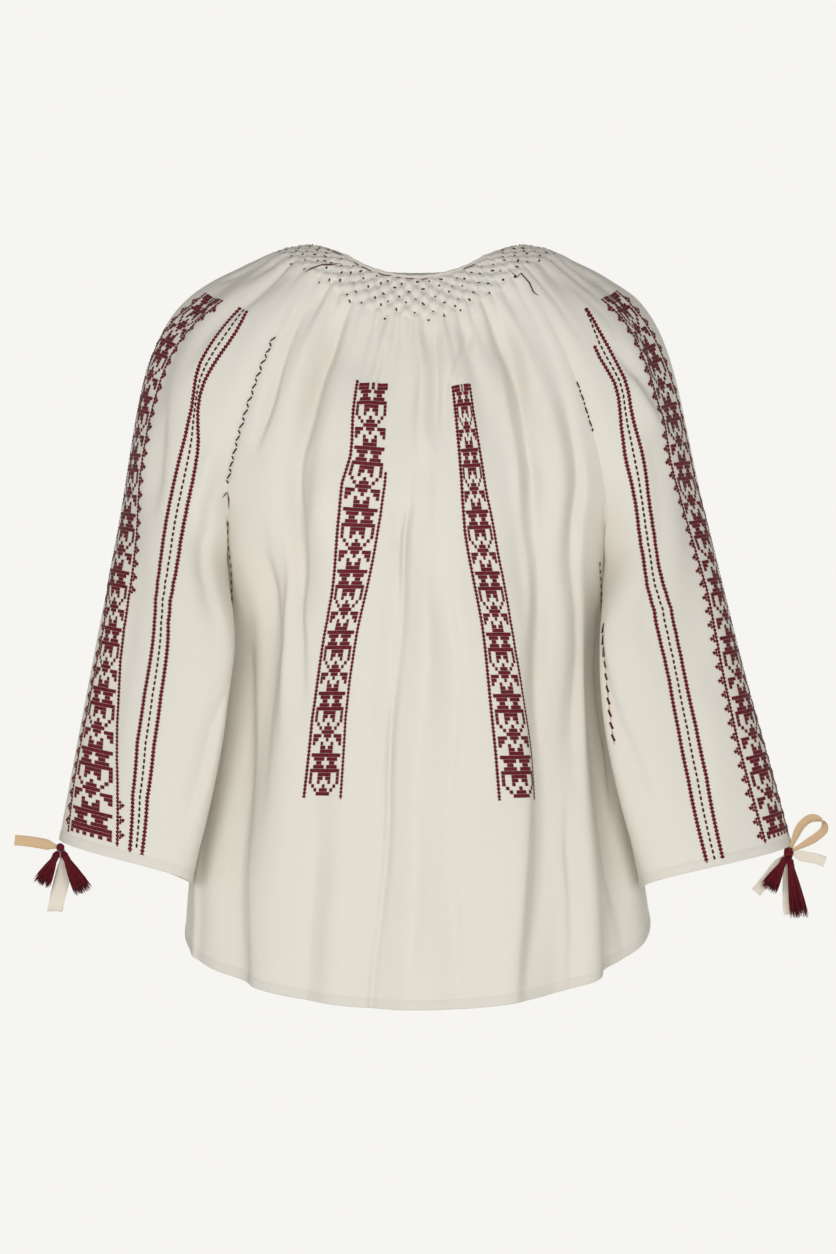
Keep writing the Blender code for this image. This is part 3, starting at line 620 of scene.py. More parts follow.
# The neck binding's section: its middle out from and above the neck edge, and its half width and
# half height.
BINDING_MIDDLE = (-1.0 * MM, 2.5 * MM)
BINDING_HALF = (1.75 * MM, 2.2 * MM)
BINDING_CORNERS = 12
NECK_SMOOTHING_PASSES = 40

# The panels' grids: columns, and rows over each stretch of stations.
PANEL_COLUMNS = {"front": 344, "back": 240, "sleeve_right": 200, "sleeve_left": 200}
SMOCKING_GRID_ROWS = 46
RAGLAN_GRID_ROWS = 100
GUSSET_GRID_ROWS = 36
LOWER_ROWS_A_STATION = 24
# The solids' panels have this many columns, which sets how many gathers run out of the smocking.
SOLID_COLUMNS = {"front": 36, "back": 24, "sleeve_right": 20, "sleeve_left": 20}

# Voile's tone drifts between these shares of its colour, and thread's between the two below.
VOILE_COOL = (0.965, 0.985, 0.985)
VOILE_WARM = (1.035, 1.0, 0.985)
THREAD_DARK = 0.40
THREAD_LIGHT = 1.55

# The photograph's whole height takes in this many metres at the blouse.
CAMERA_AT = (0.0018, -3.5, -0.3497)
PHOTO_HEIGHT_AT_BLOUSE = 1.15368
SENSOR_HEIGHT = 36.0
FLOOR_Z = -1.10
FLOOR_RADIUS = 1.05
FLOOR_CORNERS = 128
# Each light's name, place, size and power. All are aimed at the middle of the blouse.
LIGHTS = (
    ("key_light", (-0.62, -1.85, -0.30), 0.54, 10.2),
    ("fill_light", (0.42, -1.95, -0.34), 0.42, 9.8),
    ("back_light", (0.8, 3.0, 0.3), 1.4, 30.0),
)
LIGHTS_AIM = (0.0, 0.0, -0.35)
# The strength of the room's light from the sides and below, and from above.
ROOM_SIDES = 0.86
ROOM_ABOVE = 0.30


def linear(hex_colour):
    """An sRGB hex colour as linear red, green and blue."""
    parts = [int(hex_colour[i:i + 2], 16) / 255 for i in (0, 2, 4)]
    return tuple(p / 12.92 if p <= 0.04045 else ((p + 0.055) / 1.055) ** 2.4 for p in parts)


def length_property(name, description, default):
    """A length that the sidebar shows."""
    return bpy.props.FloatProperty(
        name=name, description=description, default=default, min=0.0, unit="LENGTH")


def colour_property(name, description, hex_colour):
    """A colour that the sidebar shows, given as sRGB hex."""
    return bpy.props.FloatVectorProperty(
        name=name, description=description, default=linear(hex_colour), size=3, subtype="COLOR")


class BlouseSizes(bpy.types.PropertyGroup):
    """Sizes of the cloth and the stitches."""

    smocking_height: length_property(
        "Smocking height", "How far a puff of the smocking stands up", 2.7 * MM)
    crease_scale: bpy.props.FloatProperty(
        name="Crease scale", description="How deep the narrow creases are", default=1.9, min=0.0,
        subtype="FACTOR")
    thread_lift: length_property("Thread lift", "How far the embroidery stands off the cloth", 0.8 * MM)
    hem_depth: length_property("Hem depth", "How deep the turned hem is", 9 * MM)


class BlouseColours(bpy.types.PropertyGroup):
    """Colours of the cloth and the threads."""

    cloth: colour_property("Cloth", "The off-white cotton", "E3DFD5")
    red_thread: colour_property("Red thread", "The embroidery cotton", "63151F")
    dark_thread: colour_property("Dark thread", "The brown seam and dash stitches", "47201B")
    tape: colour_property("Tape", "The tan tapes of the cuff ties", "D8BA94")
    pale_tape: colour_property("Pale tape", "The bleached tapes of the cuff ties", "ECE4D6")


def cubic(start, start_slope, end, end_slope, t):
    """A smooth curve from start to end with its slope at each, where t runs from 0 to 1."""
    return (
        start * (1 + 2 * t) * (1 - t) ** 2
        + start_slope * t * (1 - t) ** 2
        + end * t * t * (3 - 2 * t)
        + end_slope * t * t * (t - 1)
    )


def along(values, station):
    """A smooth curve through one column of a table, which never overshoots its rows."""
    values = np.asarray(values, float)
    station = np.asarray(station, float)
    steps = np.diff(values)
    slopes = np.zeros_like(values)
    before, after = steps[:-1], steps[1:]
    together = before * after > 0
    total = np.where(together, before + after, 1.0)
    slopes[1:-1] = np.where(together, 2 * before * after / total, 0.0)
    slopes[0], slopes[-1] = steps[0], steps[-1]
    row = np.clip(np.floor(station).astype(int), 0, len(steps) - 1)
    return cubic(values[row], slopes[row], values[row + 1], slopes[row + 1], station - row)


def fade(value, start, end):
    """0 at start, 1 at end, smooth between."""
    t = np.clip((value - start) / (end - start), 0, 1)
    return t * t * (3 - 2 * t)


def read(table, fields, name, station):
    """One named column of a table at each station."""
    return along([row[fields.index(name)] for row in table], station)


def sleeve_surface(table, side, across, station):
    """Points of a sleeve. across is -1 at its front edge and 1 at its back edge; side is 1 or -1 in X."""
    field = {name: read(table, SLEEVE_FIELDS, name, station) for name in SLEEVE_FIELDS}
    sweep = np.radians(field["sweep"])
    share = (np.cos(across * sweep) - np.cos(sweep)) / (1 - np.cos(sweep))
    reach = np.sin(across * sweep)
    turned = ARM_TURN * field["half_depth"] * reach * (1 - share)
    turned = turned * fade(station, GUSSET_TOP, GUSSET_TOP + 1)
    x = field["inner_x"] + (field["outer_x"] - field["inner_x"]) * share + turned
    x = x - field["wrap"] * (1 - share) * np.minimum(reach, 0) ** 2
    z = field["inner_z"] + (field["outer_z"] - field["inner_z"]) * share
    y = field["centre_y"] + field["half_depth"] * reach
    return np.stack([side * x, y, z], -1) * MM


def side_edge(sleeve, sides, side, end, station):
    """The body's side edge. end is -1 for the front panel and 1 for the back panel."""
    corner = sleeve_surface(sleeve, side, float(end), np.float64(GUSSET_TOP)) / MM
    table = [(side * corner[0], 0.0, corner[2], abs(corner[1]))] + list(sides)
    below = np.clip(station - GUSSET_TOP, 0, None)
    x, y, z, opening = (along([row[i] for row in table], below) for i in range(4))
    turned = ARM_TURN * opening * end * fade(station, GUSSET_TOP, GUSSET_TOP + 1)
    lower = np.stack([side * (x + turned), y + end * opening, z], -1) * MM
    upper = sleeve_surface(sleeve, side, float(end), np.clip(station, 0, GUSSET_TOP))
    return np.where((station <= GUSSET_TOP)[..., None], upper, lower)


def body_surface(table, end, across, station):
    """Points of the front (end -1) or back (end 1) panel, across from -1 at the left to 1 at the right."""
    sweep = np.radians(read(table, BODY_FIELDS, "sweep", station))
    middle_y = read(table, BODY_FIELDS, "middle_y", station) * MM
    middle_z = read(table, BODY_FIELDS, "middle_z", station) * MM
    left = side_edge(SLEEVE_LEFT, SIDE_LEFT, -1, end, station)
    right = side_edge(SLEEVE_RIGHT, SIDE_RIGHT, 1, end, station)
    round_to = np.sin(across * sweep) / np.sin(sweep)
    share = (np.cos(across * sweep) - np.cos(sweep)) / (1 - np.cos(sweep))
    ends = left + (right - left) * ((round_to + 1) / 2)[..., None]
    y = ends[..., 1] + (middle_y - ends[..., 1]) * share
    z = ends[..., 2] + (middle_z - ends[..., 2]) * share
    return np.stack([ends[..., 0], y, z], -1)


def unit(vectors, spare=0.0):
    """The directions of vectors. spare keeps one without length from being divided by nothing."""
    return vectors / (np.linalg.norm(vectors, axis=-1, keepdims=True) + spare)


def normals_of(grid):
    """The direction across a grid's surface at each of its points."""
    cells = unit(np.cross(grid[1:, 1:] - grid[:-1, :-1], grid[:-1, 1:] - grid[1:, :-1]), TINY)
    joined = np.zeros_like(grid)
    for rows in (slice(None, -1), slice(1, None)):
        for columns in (slice(None, -1), slice(1, None)):
            joined[rows, columns] += cells
    return unit(joined)


def half_widths(grid):
    """Half the width of the cloth along each row of a grid, in metres."""
    return np.linalg.norm(np.diff(grid, axis=1), axis=2).sum(1)[:, None] / 2


def broad_folds(folds, half, across, station, waves):
    """The folds and gathers that the solids have too, in metres."""
    height = np.zeros(across.shape)
    for top, bottom, first, last, width, depth in folds:
        run = np.clip((station - first) / (min(last, BODY_END) - first), 0, 1)
        distance = (across - (top + (bottom - top) * run)) * half
        window = fade(station, first, first + FOLD_EASE) * (1 - fade(station, last - FOLD_EASE, last))
        height += depth * MM * window * np.exp(-((distance / (width * MM)) ** 2))
    window = fade(station, SMOCKING_END, SMOCKING_END + 1) * (1 - fade(station, *GATHERS_ENDING))
    return height + GATHER_DEPTH * window * np.cos(2 * math.pi * waves * across)


def narrow_creases(creases, half, across, station):
    """The listed creases: each a soft trough or ridge, steeper on one side than on the other."""
    height = np.zeros(across.shape)
    for count, (width, depth, path) in enumerate(creases):
        stations, places = np.array(path).T
        spot = np.interp(station, stations, places)
        spot = spot + CREASE_WANDER * np.sin(2.3 * station + 1.7 * count)
        distance = (across - spot) * half / (width * MM)
        lean = 1 + CREASE_LEANS[count % 2] * np.tanh(2 * distance)
        ease = min(CREASE_EASE, CREASE_EASE_SHARE * (stations[-1] - stations[0]))
        window = fade(station, stations[0], stations[0] + ease)
        window = window * (1 - fade(station, stations[-1] - ease, stations[-1]))
        swell = 1 + CREASE_SWELL * np.sin(1.9 * station + count)
        height += depth * MM * window * swell * np.exp(-((distance * lean) ** 2))
    return height


def gathers(half, across, station, count, seed):
    """The small pleats that run out of the smocking, uneven in length, depth and spacing."""
    random = np.random.default_rng(seed)
    height = np.zeros(across.shape)
    for place in np.linspace(-0.92, 0.92, count):
        top = place + random.uniform(-0.3, 0.3) / count
        drift = random.uniform(-0.05, 0.05)
        last = random.uniform(*PLEAT_LAST)
        depth = random.uniform(*PLEAT_DEPTH) * MM
        width = random.uniform(*PLEAT_WIDTH) * MM
        spot = top + drift * (station - 1) / 4
        grown = width * (1 + 0.28 * np.clip(station - 1, 0, 6))
        window = fade(station, 0.75, 1.3) * (1 - fade(station, 1.4, last))
        height -= depth * window * np.exp(-(((across - spot) * half / grown) ** 2))
    return height


def rumple(across, station, half, seed):
    """Slow, shallow waves that keep wide cloth from looking flat."""
    random = np.random.default_rng(seed)
    height = np.zeros(across.shape)
    for _ in range(RUMPLE_WAVES):
        over = across * half / random.uniform(0.05, 0.12)
        down = station / random.uniform(1.2, 3.0)
        wave = np.sin(over + random.uniform(-0.8, 0.8) * down + random.uniform(0, 6.3))
        height += RUMPLE_DEPTH * wave
    return height * fade(station, 1.5, 3.0)


def smocking_relief(across, station, cells, height):
    """Honeycomb puffs in a staggered lattice, pinched where the stitches lie between them."""
    row = np.clip(station / SMOCKING_END, 0, None) * SMOCKING_ROWS
    turn = math.pi * cells * (across + 1)
    puff = 0.5 + 0.5 * np.cos(turn) * np.cos(math.pi * np.minimum(row, SMOCKING_ROWS + 0.6))
    pleat = SMOCKING_PLEAT * np.cos(3 * turn) * np.sin(math.pi * row) ** 2
    ending = 1 - fade(row, SMOCKING_ROWS - 0.3, SMOCKING_ROWS + 3.2)
    beginning = SMOCKING_TOP + (1 - SMOCKING_TOP) * fade(row, 0, 0.7)
    return height * (puff ** PUFF_FULLNESS + pleat) * (ending * beginning)


def panel_stations(last):
    """The stations of a panel's rows. Rows above the gusset's tip are the same on every panel."""
    return np.concatenate([
        np.linspace(0, 1.3, SMOCKING_GRID_ROWS, endpoint=False),
        np.linspace(1.3, GUSSET_TOP, RAGLAN_GRID_ROWS, endpoint=False),
        np.linspace(GUSSET_TOP, GUSSET_TIP, GUSSET_GRID_ROWS, endpoint=False),
        np.linspace(GUSSET_TIP, last, LOWER_ROWS_A_STATION * (last - GUSSET_TIP) + 1),
    ])


def ease_kinks(grid, across):
    """Smooths the sharp bends that cross a panel under the arms, away from its seams and its ends."""
    room = fade(1 - np.abs(across), 0.02, 0.30)[..., None]
    eased = grid.copy()
    for _ in range(EASING_PASSES):
        eased[1:-1] += EASING_SHARE * room[1:-1] * (eased[2:] + eased[:-2] - 2 * eased[1:-1])
    return eased


def close_armpit(grid, name, across, station):
    """Brings sleeve and body together under the arm, and lets the sleeve fall away from the body below."""
    near = fade(station, *ARMPIT_START) * (1 - fade(station, *ARMPIT_ENDING))
    near = near * fade(np.abs(across), 0.62, 1.0)
    way = -1 if name.startswith("sleeve") else 1
    shift = way * ARMPIT_CLOSING * near
    if name.startswith("sleeve"):
        below = fade(station, *SLACK_START) * (1 - 0.8 * fade(station, *SLACK_ENDING))
        below = below * fade(np.abs(across), 0.35, 0.8)
        shift = shift + SLEEVE_SLACK[name] * below
    grid[..., 0] += np.sign(grid[..., 0]) * shift
    return grid


# How each panel is cut: its surface with that one's table and side or end, its last station, its
# folds and creases, the seed of its uneven pleats, and the way its outward direction turns.
PANEL_CUTS = {
    "front": (body_surface, FRONT, -1, BODY_END, FRONT_FOLDS, FRONT_CREASES, 3, 1.0),
    "back": (body_surface, BACK, 1, BODY_END, BACK_FOLDS, BACK_CREASES, 4, -1.0),
    "sleeve_right": (sleeve_surface, SLEEVE_RIGHT, 1, SLEEVE_END, SLEEVE_RIGHT_FOLDS,
                     SLEEVE_RIGHT_CREASES, 5, 1.0),
    "sleeve_left": (sleeve_surface, SLEEVE_LEFT, -1, SLEEVE_END, SLEEVE_LEFT_FOLDS,
                    SLEEVE_LEFT_CREASES, 6, -1.0),
}


def make_panel(name, sizes):
    """One cloth panel as a fine grid with its folds, creases and smocking."""
    surface, table, way, last, folds, creases, seed, turn = PANEL_CUTS[name]
    stations = panel_stations(last)
    places = np.linspace(-1, 1, PANEL_COLUMNS[name] + 1)
    station, across = np.meshgrid(stations, places, indexing="ij")
    plain = ease_kinks(surface(table, way, across, station), across)
    plain = close_armpit(plain, name, across, station)
    half = half_widths(plain)
    lift = broad_folds(folds, half, across, station, (SOLID_COLUMNS[name] + 1) // 8)
    lift += narrow_creases(creases, half, across, station) * sizes.crease_scale
    lift += gathers(half, across, station, SOLID_COLUMNS[name] // 2, seed)
    lift += rumple(across, station, half, seed + 50)
    lift *= fade(1 - np.abs(across), 0, 0.16)
    grid = plain + normals_of(plain) * turn * lift[..., None]
    relief = smocking_relief(across, station, SMOCKING_CELLS[name], sizes.smocking_height)
    return {"stations": stations, "places": places, "grid": grid, "relief": relief, "turn": turn,
            "normal": normals_of(grid) * turn}


def share_edge(one, column, other, other_column, rows):
    """Gives two panels one outward direction along the seam between them."""
    joined = unit(one["normal"][:rows, column] + other["normal"][:rows, other_column])
    one["normal"][:rows, column] = joined
    other["normal"][:rows, other_column] = joined


PANELS = {}


def cut_panels():
    """The four panels, made once and kept for the pieces that are laid on them."""
    if PANELS:
        return PANELS
    made = {name: make_panel(name, bpy.context.scene.blouse_sizes) for name in PANEL_CUTS}
    raglan = SMOCKING_GRID_ROWS + RAGLAN_GRID_ROWS
    for sleeve, body_end in (("sleeve_right", -1), ("sleeve_left", 0)):
        share_edge(made["front"], body_end, made[sleeve], 0, raglan)
        share_edge(made["back"], body_end, made[sleeve], -1, raglan)
    for panel in made.values():
        panel["grid"] = panel["grid"] + panel["normal"] * panel["relief"][..., None]
    PANELS.update(made)
    return PANELS


def spot_on(panel, station, across, lift=0.0):
    """Points on a panel at fine places, each lifted off the cloth along its outward direction."""
    station, across, lift = np.broadcast_arrays(station, across, lift)
    down = np.interp(station, panel["stations"], np.arange(len(panel["stations"])))
    over = np.interp(across, panel["places"], np.arange(len(panel["places"])))
    row = np.minimum(down.astype(int), len(panel["stations"]) - 2)
    column = np.minimum(over.astype(int), len(panel["places"]) - 2)
    t, u = (down - row)[..., None], (over - column)[..., None]

    def blend(values):
        top = values[row, column] * (1 - u) + values[row, column + 1] * u
        low = values[row + 1, column] * (1 - u) + values[row + 1, column + 1] * u
        return top * (1 - t) + low * t

    return blend(panel["grid"]) + blend(panel["normal"]) * lift[..., None]


def across_scale(panel, station, across):
    """How many metres of cloth one unit across takes at each place."""
    step = 0.01
    one = spot_on(panel, station, across - step)
    other = spot_on(panel, station, across + step)
    return np.linalg.norm(other - one, axis=-1) / (2 * step)


def length_along(line):
    """How far each point of a line lies along it."""
    return np.concatenate([[0], np.cumsum(np.linalg.norm(np.diff(line, axis=0), axis=1))])


def measured_line(panel, stations, places, count):
    """A line on a panel at fine steps: the length along it, its stations and its places across."""
    fine = np.linspace(stations[0], stations[-1], count)
    spot = np.interp(fine, stations, places)
    return length_along(spot_on(panel, fine, spot)), fine, spot


def stations_by_length(panel, table, pitch):
    """Stations that lie one pitch apart along the middle of a band, measured on the cloth."""
    stations, left, right = np.array(table).T
    run, fine, _ = measured_line(panel, stations, (left + right) / 2, 1500)
    return np.interp(np.arange(0, run[-1], pitch), run, fine)


def grid_faces(rows, columns, closed, flip):
    """The faces of a grid of points, as four corners each."""
    index = np.arange(rows * columns).reshape(rows, columns)
    if closed:
        index = np.concatenate([index, index[:, :1]], axis=1)
    corners = [index[:-1, :-1], index[1:, :-1], index[1:, 1:], index[:-1, 1:]]
    faces = np.stack(corners[::-1] if flip else corners, -1)
    return faces.reshape(-1, 4)


def cloth_measure(grid):
    """How far each point of a grid lies down and across the cloth, in metres."""
    over = np.concatenate([np.zeros((len(grid), 1)), np.cumsum(
        np.linalg.norm(np.diff(grid, axis=1), axis=2), axis=1)], axis=1)
    over -= over[:, [grid.shape[1] // 2]]
    down = length_along(grid[:, grid.shape[1] // 2])
    return np.stack([over, np.repeat(down[:, None], grid.shape[1], axis=1)], -1)


def make_piece(name, patches, material, replaced=()):
    """One piece from patches, each a grid of points, whether it closes on itself and whether to flip it."""
    points, faces, measures, start = [], [], [], 0
    for grid, closed, flip in patches:
        rows, columns = grid.shape[:2]
        points.append(grid.reshape(-1, 3))
        faces.append(grid_faces(rows, columns, closed, flip) + start)
        measures.append(cloth_measure(grid).reshape(-1, 2))
        start += rows * columns
    points, faces, measures = np.concatenate(points), np.concatenate(faces), np.concatenate(measures)
    mesh = bpy.data.meshes.new(name)
    mesh.from_pydata(points.tolist(), [], faces.tolist())
    layer = mesh.uv_layers.new(name="cloth_metres")
    corners = np.empty(len(mesh.loops), int)
    mesh.loops.foreach_get("vertex_index", corners)
    layer.data.foreach_set("uv", measures[corners].astype(np.float32).ravel())
    mesh.shade_smooth()
    mesh.materials.append(finish(material))
    piece = bpy.data.objects.new(name, mesh)
    bpy.context.scene.collection.objects.link(piece)
    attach(piece, "root")
    if replaced:
        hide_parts(*replaced)
    return piece


def lay(panel, shapes):
    """Turns shapes given by station, place across and lift into patches on a panel, all in one go."""
    flip = panel["turn"] < 0
    sizes = [shape[0].shape for shape in shapes]
    joined = [np.concatenate([shape[k].ravel() for shape in shapes]) for k in range(3)]
    points = spot_on(panel, *joined)
    patches, start = [], 0
    for rows, columns in sizes:
        patches.append((points[start:start + rows * columns].reshape(rows, columns, 3), False, flip))
        start += rows * columns
    return patches


def thread(path, radius, sides=5):
    """A thin round thread along a path, as one closed patch with pointed ends."""
    path = np.asarray(path, float)
    run = unit(np.gradient(path, axis=0), TINY)
    guide = np.array((0.0, 1.0, 0.0)) if abs(run[0][1]) < 0.8 else np.array((1.0, 0.0, 0.0))
    side = unit(guide - run * (run @ guide)[:, None])
    other = np.cross(run, side)
    turn = np.linspace(0, 2 * math.pi, sides, endpoint=False)
    size = np.full(len(path), radius)
    size[0] = size[-1] = radius * 0.15
    ring = side[:, None] * np.cos(turn)[None, :, None] + other[:, None] * np.sin(turn)[None, :, None]
    return path[:, None] + ring * size[:, None, None], True, False


def smooth_path(path, count):
    """A smooth curve of count points through a few given points."""
    path = np.asarray(path, float)
    fine = np.linspace(0, len(path) - 1, count)
    slopes = np.gradient(path, axis=0)
    row = np.minimum(fine.astype(int), len(path) - 2)
    return cubic(path[row], slopes[row], path[row + 1], slopes[row + 1], (fine - row)[:, None])


def add_node(tree, kind, settings=None, links=None):
    """Adds one node with its settings, and links other nodes' outputs to its inputs."""
    node = tree.nodes.new(kind)
    for key, value in (settings or {}).items():
        if isinstance(key, str) and hasattr(node, key):
            setattr(node, key, value)
        else:
            node.inputs[key].default_value = value
    for key, source in (links or {}).items():
        tree.links.new(source, node.inputs[key])
    return node


def new_material(name):
    """An empty material and its node tree."""
    material = bpy.data.materials.new(name)
    material.use_nodes = True
    tree = material.node_tree
    tree.nodes.clear()
    return material, tree


def drifting_colour(tree, noise, one, other):
    """A colour that a noise texture moves between two."""
    tint = add_node(tree, "ShaderNodeMix", {"data_type": "RGBA"}, {0: noise.outputs["Fac"]})
    tint.inputs[6].default_value = (*one, 1.0)
    tint.inputs[7].default_value = (*other, 1.0)
    return tint.outputs[2]


def cotton_voile(name, colour, weave=1.5 * MM):
    """Plain-woven cotton voile, washed: matt, slightly uneven in tone, with a fine soft weave."""
    material, tree = new_material(name)
    place = add_node(tree, "ShaderNodeTexCoord")
    tone = add_node(tree, "ShaderNodeTexNoise", {"Scale": 11.0, "Detail": 2.0, "Roughness": 0.5},
                    {"Vector": place.outputs["Object"]})
    cool = [part * share for part, share in zip(colour, VOILE_COOL)]
    warm = [min(1.0, part * share) for part, share in zip(colour, VOILE_WARM)]
    tint = drifting_colour(tree, tone, cool, warm)
    # Real voile has about 25 threads to a centimetre; drawn coarser so that the weave can show.
    scale = 2 * math.pi / (weave * 20)
    ridges = []
    for direction in ("X", "Y"):
        ridges.append(add_node(tree, "ShaderNodeTexWave", {
            "bands_direction": direction, "Scale": scale, "Distortion": 0.9, "Detail": 1.0,
            "Detail Scale": 1.5}, {"Vector": place.outputs["UV"]}))
    weave_height = add_node(tree, "ShaderNodeMath", {"operation": "ADD"},
                            {0: ridges[0].outputs["Fac"], 1: ridges[1].outputs["Fac"]})
    slubs = add_node(tree, "ShaderNodeTexNoise", {"Scale": 420.0, "Detail": 3.0},
                     {"Vector": place.outputs["Object"]})
    grain = add_node(tree, "ShaderNodeMath", {"operation": "MULTIPLY_ADD", 1: 1.4},
                     {0: slubs.outputs["Fac"], 2: weave_height.outputs["Value"]})
    bump = add_node(tree, "ShaderNodeBump", {"Strength": 0.22, "Distance": 0.12 * MM},
                    {"Height": grain.outputs["Value"]})
    shader = add_node(tree, "ShaderNodeBsdfPrincipled", {
        "Roughness": 0.92, "Specular IOR Level": 0.25, "Sheen Weight": 0.12, "Sheen Roughness": 0.5},
        {"Base Color": tint, "Normal": bump.outputs["Normal"]})
    # Thin cotton lets part of the light through, which softens the shade inside its folds.
    through = add_node(tree, "ShaderNodeBsdfTranslucent", None, {"Color": tint})
    both = add_node(tree, "ShaderNodeMixShader", {0: 0.15}, {
        1: shader.outputs["BSDF"], 2: through.outputs["BSDF"]})
    add_node(tree, "ShaderNodeOutputMaterial", None, {"Surface": both.outputs["Shader"]})
    return material


def stranded_cotton(name, colour, ridge=0.9 * MM):
    """Stranded embroidery cotton: a soft gloss, and ridges where the threads lie side by side."""
    material, tree = new_material(name)
    place = add_node(tree, "ShaderNodeTexCoord")
    tone = add_node(tree, "ShaderNodeTexNoise", {"Scale": 260.0, "Detail": 2.0},
                    {"Vector": place.outputs["Object"]})
    dark = [part * THREAD_DARK for part in colour]
    light = [min(1.0, part * THREAD_LIGHT) for part in colour]
    tint = drifting_colour(tree, tone, dark, light)
    # One strand is about 0.4 mm wide; drawn at twice that so that the ridges can show.
    strands = add_node(tree, "ShaderNodeTexWave", {
        "bands_direction": "X", "Scale": 2 * math.pi / (ridge * 20), "Distortion": 1.0},
        {"Vector": place.outputs["UV"]})
    bump = add_node(tree, "ShaderNodeBump", {"Strength": 0.5, "Distance": 0.2 * MM},
                    {"Height": strands.outputs["Fac"]})
    shader = add_node(tree, "ShaderNodeBsdfPrincipled", {
        "Roughness": 0.6, "Specular IOR Level": 0.16, "Sheen Weight": 0.03, "Sheen Roughness": 0.4},
        {"Base Color": tint, "Normal": bump.outputs["Normal"]})
    add_node(tree, "ShaderNodeOutputMaterial", None, {"Surface": shader.outputs["BSDF"]})
    return material


FINISHES = {}


def finish(name):
    """The blouse's materials by name, made when first asked for."""
    if name not in FINISHES:
        colours = bpy.context.scene.blouse_colours
        makers = {
            "cotton_voile": lambda: cotton_voile("cotton_voile", tuple(colours.cloth)),
            "tan_tape": lambda: cotton_voile("unbleached_cotton_tape", tuple(colours.tape), 1.1 * MM),
            "pale_tape": lambda: cotton_voile("bleached_cotton_tape", tuple(colours.pale_tape), 1.1 * MM),
            "red_cotton": lambda: stranded_cotton("red_stranded_cotton", tuple(colours.red_thread)),
            "brown_cotton": lambda: stranded_cotton("brown_stranded_cotton", tuple(colours.dark_thread)),
            "tan_cotton": lambda: stranded_cotton("tan_sewing_cotton", linear("C2AC85")),
        }
        FINISHES[name] = makers[name]()
    return FINISHES[name]


def satin_bars(panel, table, pattern, inset, lift, rise):
    """The embroidery of one band: a raised pillow for each run of worked squares in a row.

    rise is how far the right end of the top row is drawn up, in stations. It dies out down the band.
    """
    stations, left, right = np.array(table).T
    rows = stations_by_length(panel, table, CHART_ROW)
    shapes = []
    for row in range(len(rows) - 1):
        text = pattern[row] if row < len(pattern) else "." * CHART_COLUMNS
        spots = rows[row] + (rows[row + 1] - rows[row]) * SATIN_DOWN
        column = 0
        while column < CHART_COLUMNS:
            if text[column] != "#":
                column += 1
                continue
            end = column
            while end < CHART_COLUMNS and text[end] == "#":
                end += 1
            over = np.linspace(column - SATIN_OVERLAP, end + SATIN_OVERLAP, 2 * (end - column) + 1)
            tips = np.ones(len(over))
            tips[0] = tips[-1] = 0.6
            share = inset + (1 - 2 * inset) * over / CHART_COLUMNS
            near = np.interp(spots, stations, left)[:, None]
            far = np.interp(spots, stations, right)[:, None]
            places = near + (far - near) * share[None]
            drawn_up = rise * (1 - fade(spots, stations[0], stations[0] + RISE_STATIONS))[:, None]
            down = spots[:, None] - drawn_up * (share[None] - 0.5)
            shapes.append((down, places, lift * SATIN_HEIGHT[:, None] * tips))
            column = end
    return shapes


def repeat_pattern(count, ending=()):
    """The pattern's rows from its start down, cut off at count rows, with its ending."""
    rows = list(CHART_START)
    while len(rows) < count:
        rows += CHART
    rows = rows[:count - len(ending)]
    return rows + list(ending)


def chain_line(panel, stations, places, pitch, width, lift):
    """A line of chain stitch: links that swell and pinch along the cloth."""
    run, fine, spot = measured_line(panel, stations, places, 900)
    steps = np.arange(0, run[-1], pitch / 4)
    at_station = np.interp(steps, run, fine)
    at_place = np.interp(steps, run, spot)
    swell = np.abs(np.sin(math.pi * steps / pitch))
    scale = across_scale(panel, at_station, at_place)
    half = width / 2 * (CHAIN_PINCH + (1 - CHAIN_PINCH) * swell) / scale
    across = at_place[:, None] + half[:, None] * CHAIN_ACROSS[None]
    lifts = lift * (0.45 + 0.75 * swell)[:, None] * CHAIN_HEIGHT[None]
    return np.repeat(at_station[:, None], 5, 1), across, lifts


def dashes(panel, stations, places, pitch, dash, width, lift):
    """Single running stitches with gaps between them."""
    run, fine, spot = measured_line(panel, stations, places, 900)
    shapes = []
    for start in np.arange(0, run[-1] - dash, pitch):
        steps = start + dash * DASH_ALONG
        at_station, at_place = np.interp(steps, run, fine), np.interp(steps, run, spot)
        half = width / 2 * DASH_BREADTH / across_scale(panel, at_station, at_place)
        across = at_place[:, None] + half[:, None] * DASH_ACROSS[None]
        lifts = lift * DASH_HEIGHT[:, None] * DASH_EDGE[None]
        shapes.append((np.repeat(at_station[:, None], 4, 1), across, lifts))
    return shapes


def station_scale(panel, station, place):
    """How many metres of cloth one station takes at a place."""
    step = 0.02
    below = spot_on(panel, station + step, place)
    above = spot_on(panel, station - step, place)
    return float(np.linalg.norm(below - above)) / (2 * step)


def small_stitch(panel, station, place, length, width, tilt, lift):
    """One short stitch at a place, tilted from upright by tilt radians."""
    scale_over = across_scale(panel, station, place)
    scale_down = station_scale(panel, station, place)
    reach = np.array((-0.5, -0.25, 0.25, 0.5)) * length
    breadth = np.array((-0.5, 0.0, 0.5)) * width
    down = reach[:, None] * math.cos(tilt) - breadth[None] * math.sin(tilt)
    over = reach[:, None] * math.sin(tilt) + breadth[None] * math.cos(tilt)
    lifts = lift * np.array((0.6, 1.0, 1.0, 0.6))[:, None] * np.array((0.6, 1.0, 0.6))[None]
    return station + down / scale_down, place + over / float(scale_over), lifts


